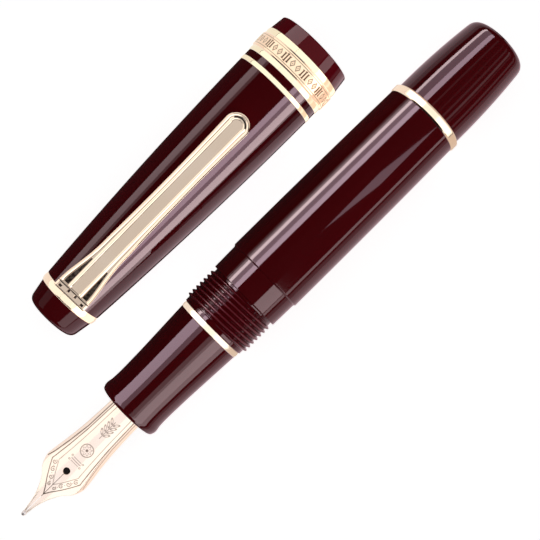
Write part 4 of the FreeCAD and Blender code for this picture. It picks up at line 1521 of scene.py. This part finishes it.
    def boxes(self) -> list[Softbox]:
        """Every softbox: crisp strips for the resin and a broad tent for the metal.

        Each strip is given by the angles at which it begins and ends, its radiance and its tint.
        """
        strips = {
            "barrel": ((-69.0, -62.0, 3.6, ROSE), (-62.0, -53.0, 14.5, ROSE),
                       (-53.0, -40.0, 3.3, LILAC), (-40.0, -27.0, 8.6, LILAC),
                       (-73.5, -71.5, 1.6, ROSE), (78.0, 86.0, 2.4, ROSE)),
            "tail": ((-75.0, -66.0, 11.0, ROSE), (-66.0, -43.0, 1.9, LILAC),
                     (-43.0, -28.0, 6.6, LILAC), (-11.0, -6.0, 0.26, ROSE),
                     (14.0, 18.0, 0.14, ROSE), (31.0, 37.0, 0.36, ROSE), (47.0, 54.0, 0.8, ROSE),
                     (58.0, 62.0, 0.22, ROSE), (77.0, 84.0, 0.5, ROSE)),
            "section": ((-64.0, -30.0, 6.0, LILAC), (-30.0, -14.0, 1.6, LILAC),
                        (14.0, 28.0, 1.2, ROSE), (28.0, 36.0, 2.6, ROSE),
                        (36.0, 66.0, 4.9, ROSE), (66.0, 82.0, 3.0, ROSE)),
            "cap": ((-78.0, -58.0, 2.7, ROSE), (-58.0, -50.0, 0.8, ROSE),
                    (36.0, 50.0, 6.9, LILAC), (50.0, 60.0, 3.1, LILAC),
                    (60.0, 79.0, 10.5, ROSE), (79.0, 89.0, 4.0, ROSE)),
            "lip": ((-78.0, -30.0, 2.5, ROSE), (-30.0, 42.0, 0.2, ROSE), (46.0, 72.0, 2.3, ROSE)),
            "finial": ((-80.0, -46.0, 0.3, ROSE), (44.0, 82.0, 1.7, ROSE))}
        tents = (
            (("clip",), -24.0, 24.0, 0.66, WHITE), (("clip",), 16.0, 90.0, 0.7, WHITE),
            (("clip",), -60.0, -30.0, 0.25, WHITE),
            (("trim", "rims"), -24.0, 24.0, 1.22, (1.0, 0.99, 0.93)),
            (("nib", "inner"), -24.0, 24.0, 1.04, (1.0, 0.965, 0.96)),
            (("trim",), -24.0, 24.0, 0.5, WHITE), (("trim",), -84.0, -24.0, 1.1, WHITE),
            (("trim",), 24.0, 84.0, 0.4, WHITE), (METAL, -100.0, -24.0, 1.25, WARM),
            (METAL, 24.0, 90.0, 1.28, (1.0, 0.98, 0.93)))
        barrel, resin = ("barrel",), (*PEN_RESIN, *CAP_RESIN, "feed")
        return [
            *(Softbox(f"{group}_{row[0]:.0f}", (group,), *row,
                      axis=CAP if group in CAP_RESIN else PEN)
              for group, rows in strips.items() for row in rows),
            *(Softbox(f"tent_{row[0][0]}_{row[1]:.0f}", *row, reach=TENT) for row in tents),
            Softbox("streak", barrel, 29.0, 37.0, 2.2, LILAC, near=-0.14, far=-0.02, spin=107.0),
            Softbox("screw_right", barrel, 36.0, 76.0, 4.0, ROSE, near=-0.006, far=0.03),
            Softbox("base_left", resin, -60.0, -20.0, 0.35, shine=False),
            Softbox("base_right", resin, -5.0, 50.0, 1.35, shine=False),
        ]

    def build(self, shop: Workshop) -> None:
        """Set up the camera, the floor, the surround and every light."""
        self.camera()
        self.floor(shop)
        self.world()
        for box in self.boxes():
            self.place(box, shop)
        for row in (
                ("sheet_pen", PEN_RESIN, 0.0145, 0.064, 0.0002, 0.9, PINK),
                ("sheet_pen_far", PEN_RESIN, 0.064, 0.25, 0.0002, 0.45, PINK),
                ("sheet_tail", ("tail",), -0.03, 0.0085, 0.0002, 0.8, PINK),
                ("sheet_tail_far", ("tail",), -0.25, -0.03, 0.0002, 0.5, PINK),
                ("sheet_metal_left", METAL, -0.25, 0.0, 0.0003, 0.95, (1.0, 0.93, 0.88)),
                ("sheet_metal_right", METAL, 0.0, 0.25, 0.0003, 0.72, PEACH),
                ("sheet_nib", ("nib",), 0.0125, 0.25, 0.0004, 0.35, (1.0, 0.9, 0.85))):
            self.sheet(shop, *row)
        side, back = Vector((0.0, 0.0006, 0.006)), Vector((0.0, -1.0, 0.0))
        self.lamp("cap_side", side, back, 0.012, 0.5, 1.15, PINK,
                  self.gather(shop, CAP_RESIN))
        self.lamp("rim_side", side * 2.0, back, 0.024, 0.5, 1.0, PEACH,
                  self.gather(shop, ("rims",)))
        self.lamp("floor_wash", Vector((0.0, 0.0, 0.9)), Vector((0.0, 0.0, -1.0)), 1.2, 1.2, 0.3,
                  WHITE, self.gather(shop, ("floor",)), False)


def main() -> None:
    """Build the sub-assemblies in order, then the studio."""
    logging.basicConfig(level=logging.INFO, format="%(message)s")
    shop = Workshop()
    for assembly in (WritingEnd(), Barrel(), Converter(), Cap()):
        assembly.build(shop)
    Studio().build(shop)
    scene = bpy.context.scene
    scene.view_settings.view_transform = "Standard"
    scene.view_settings.look = "None"


if __name__ == "__main__":
    main()
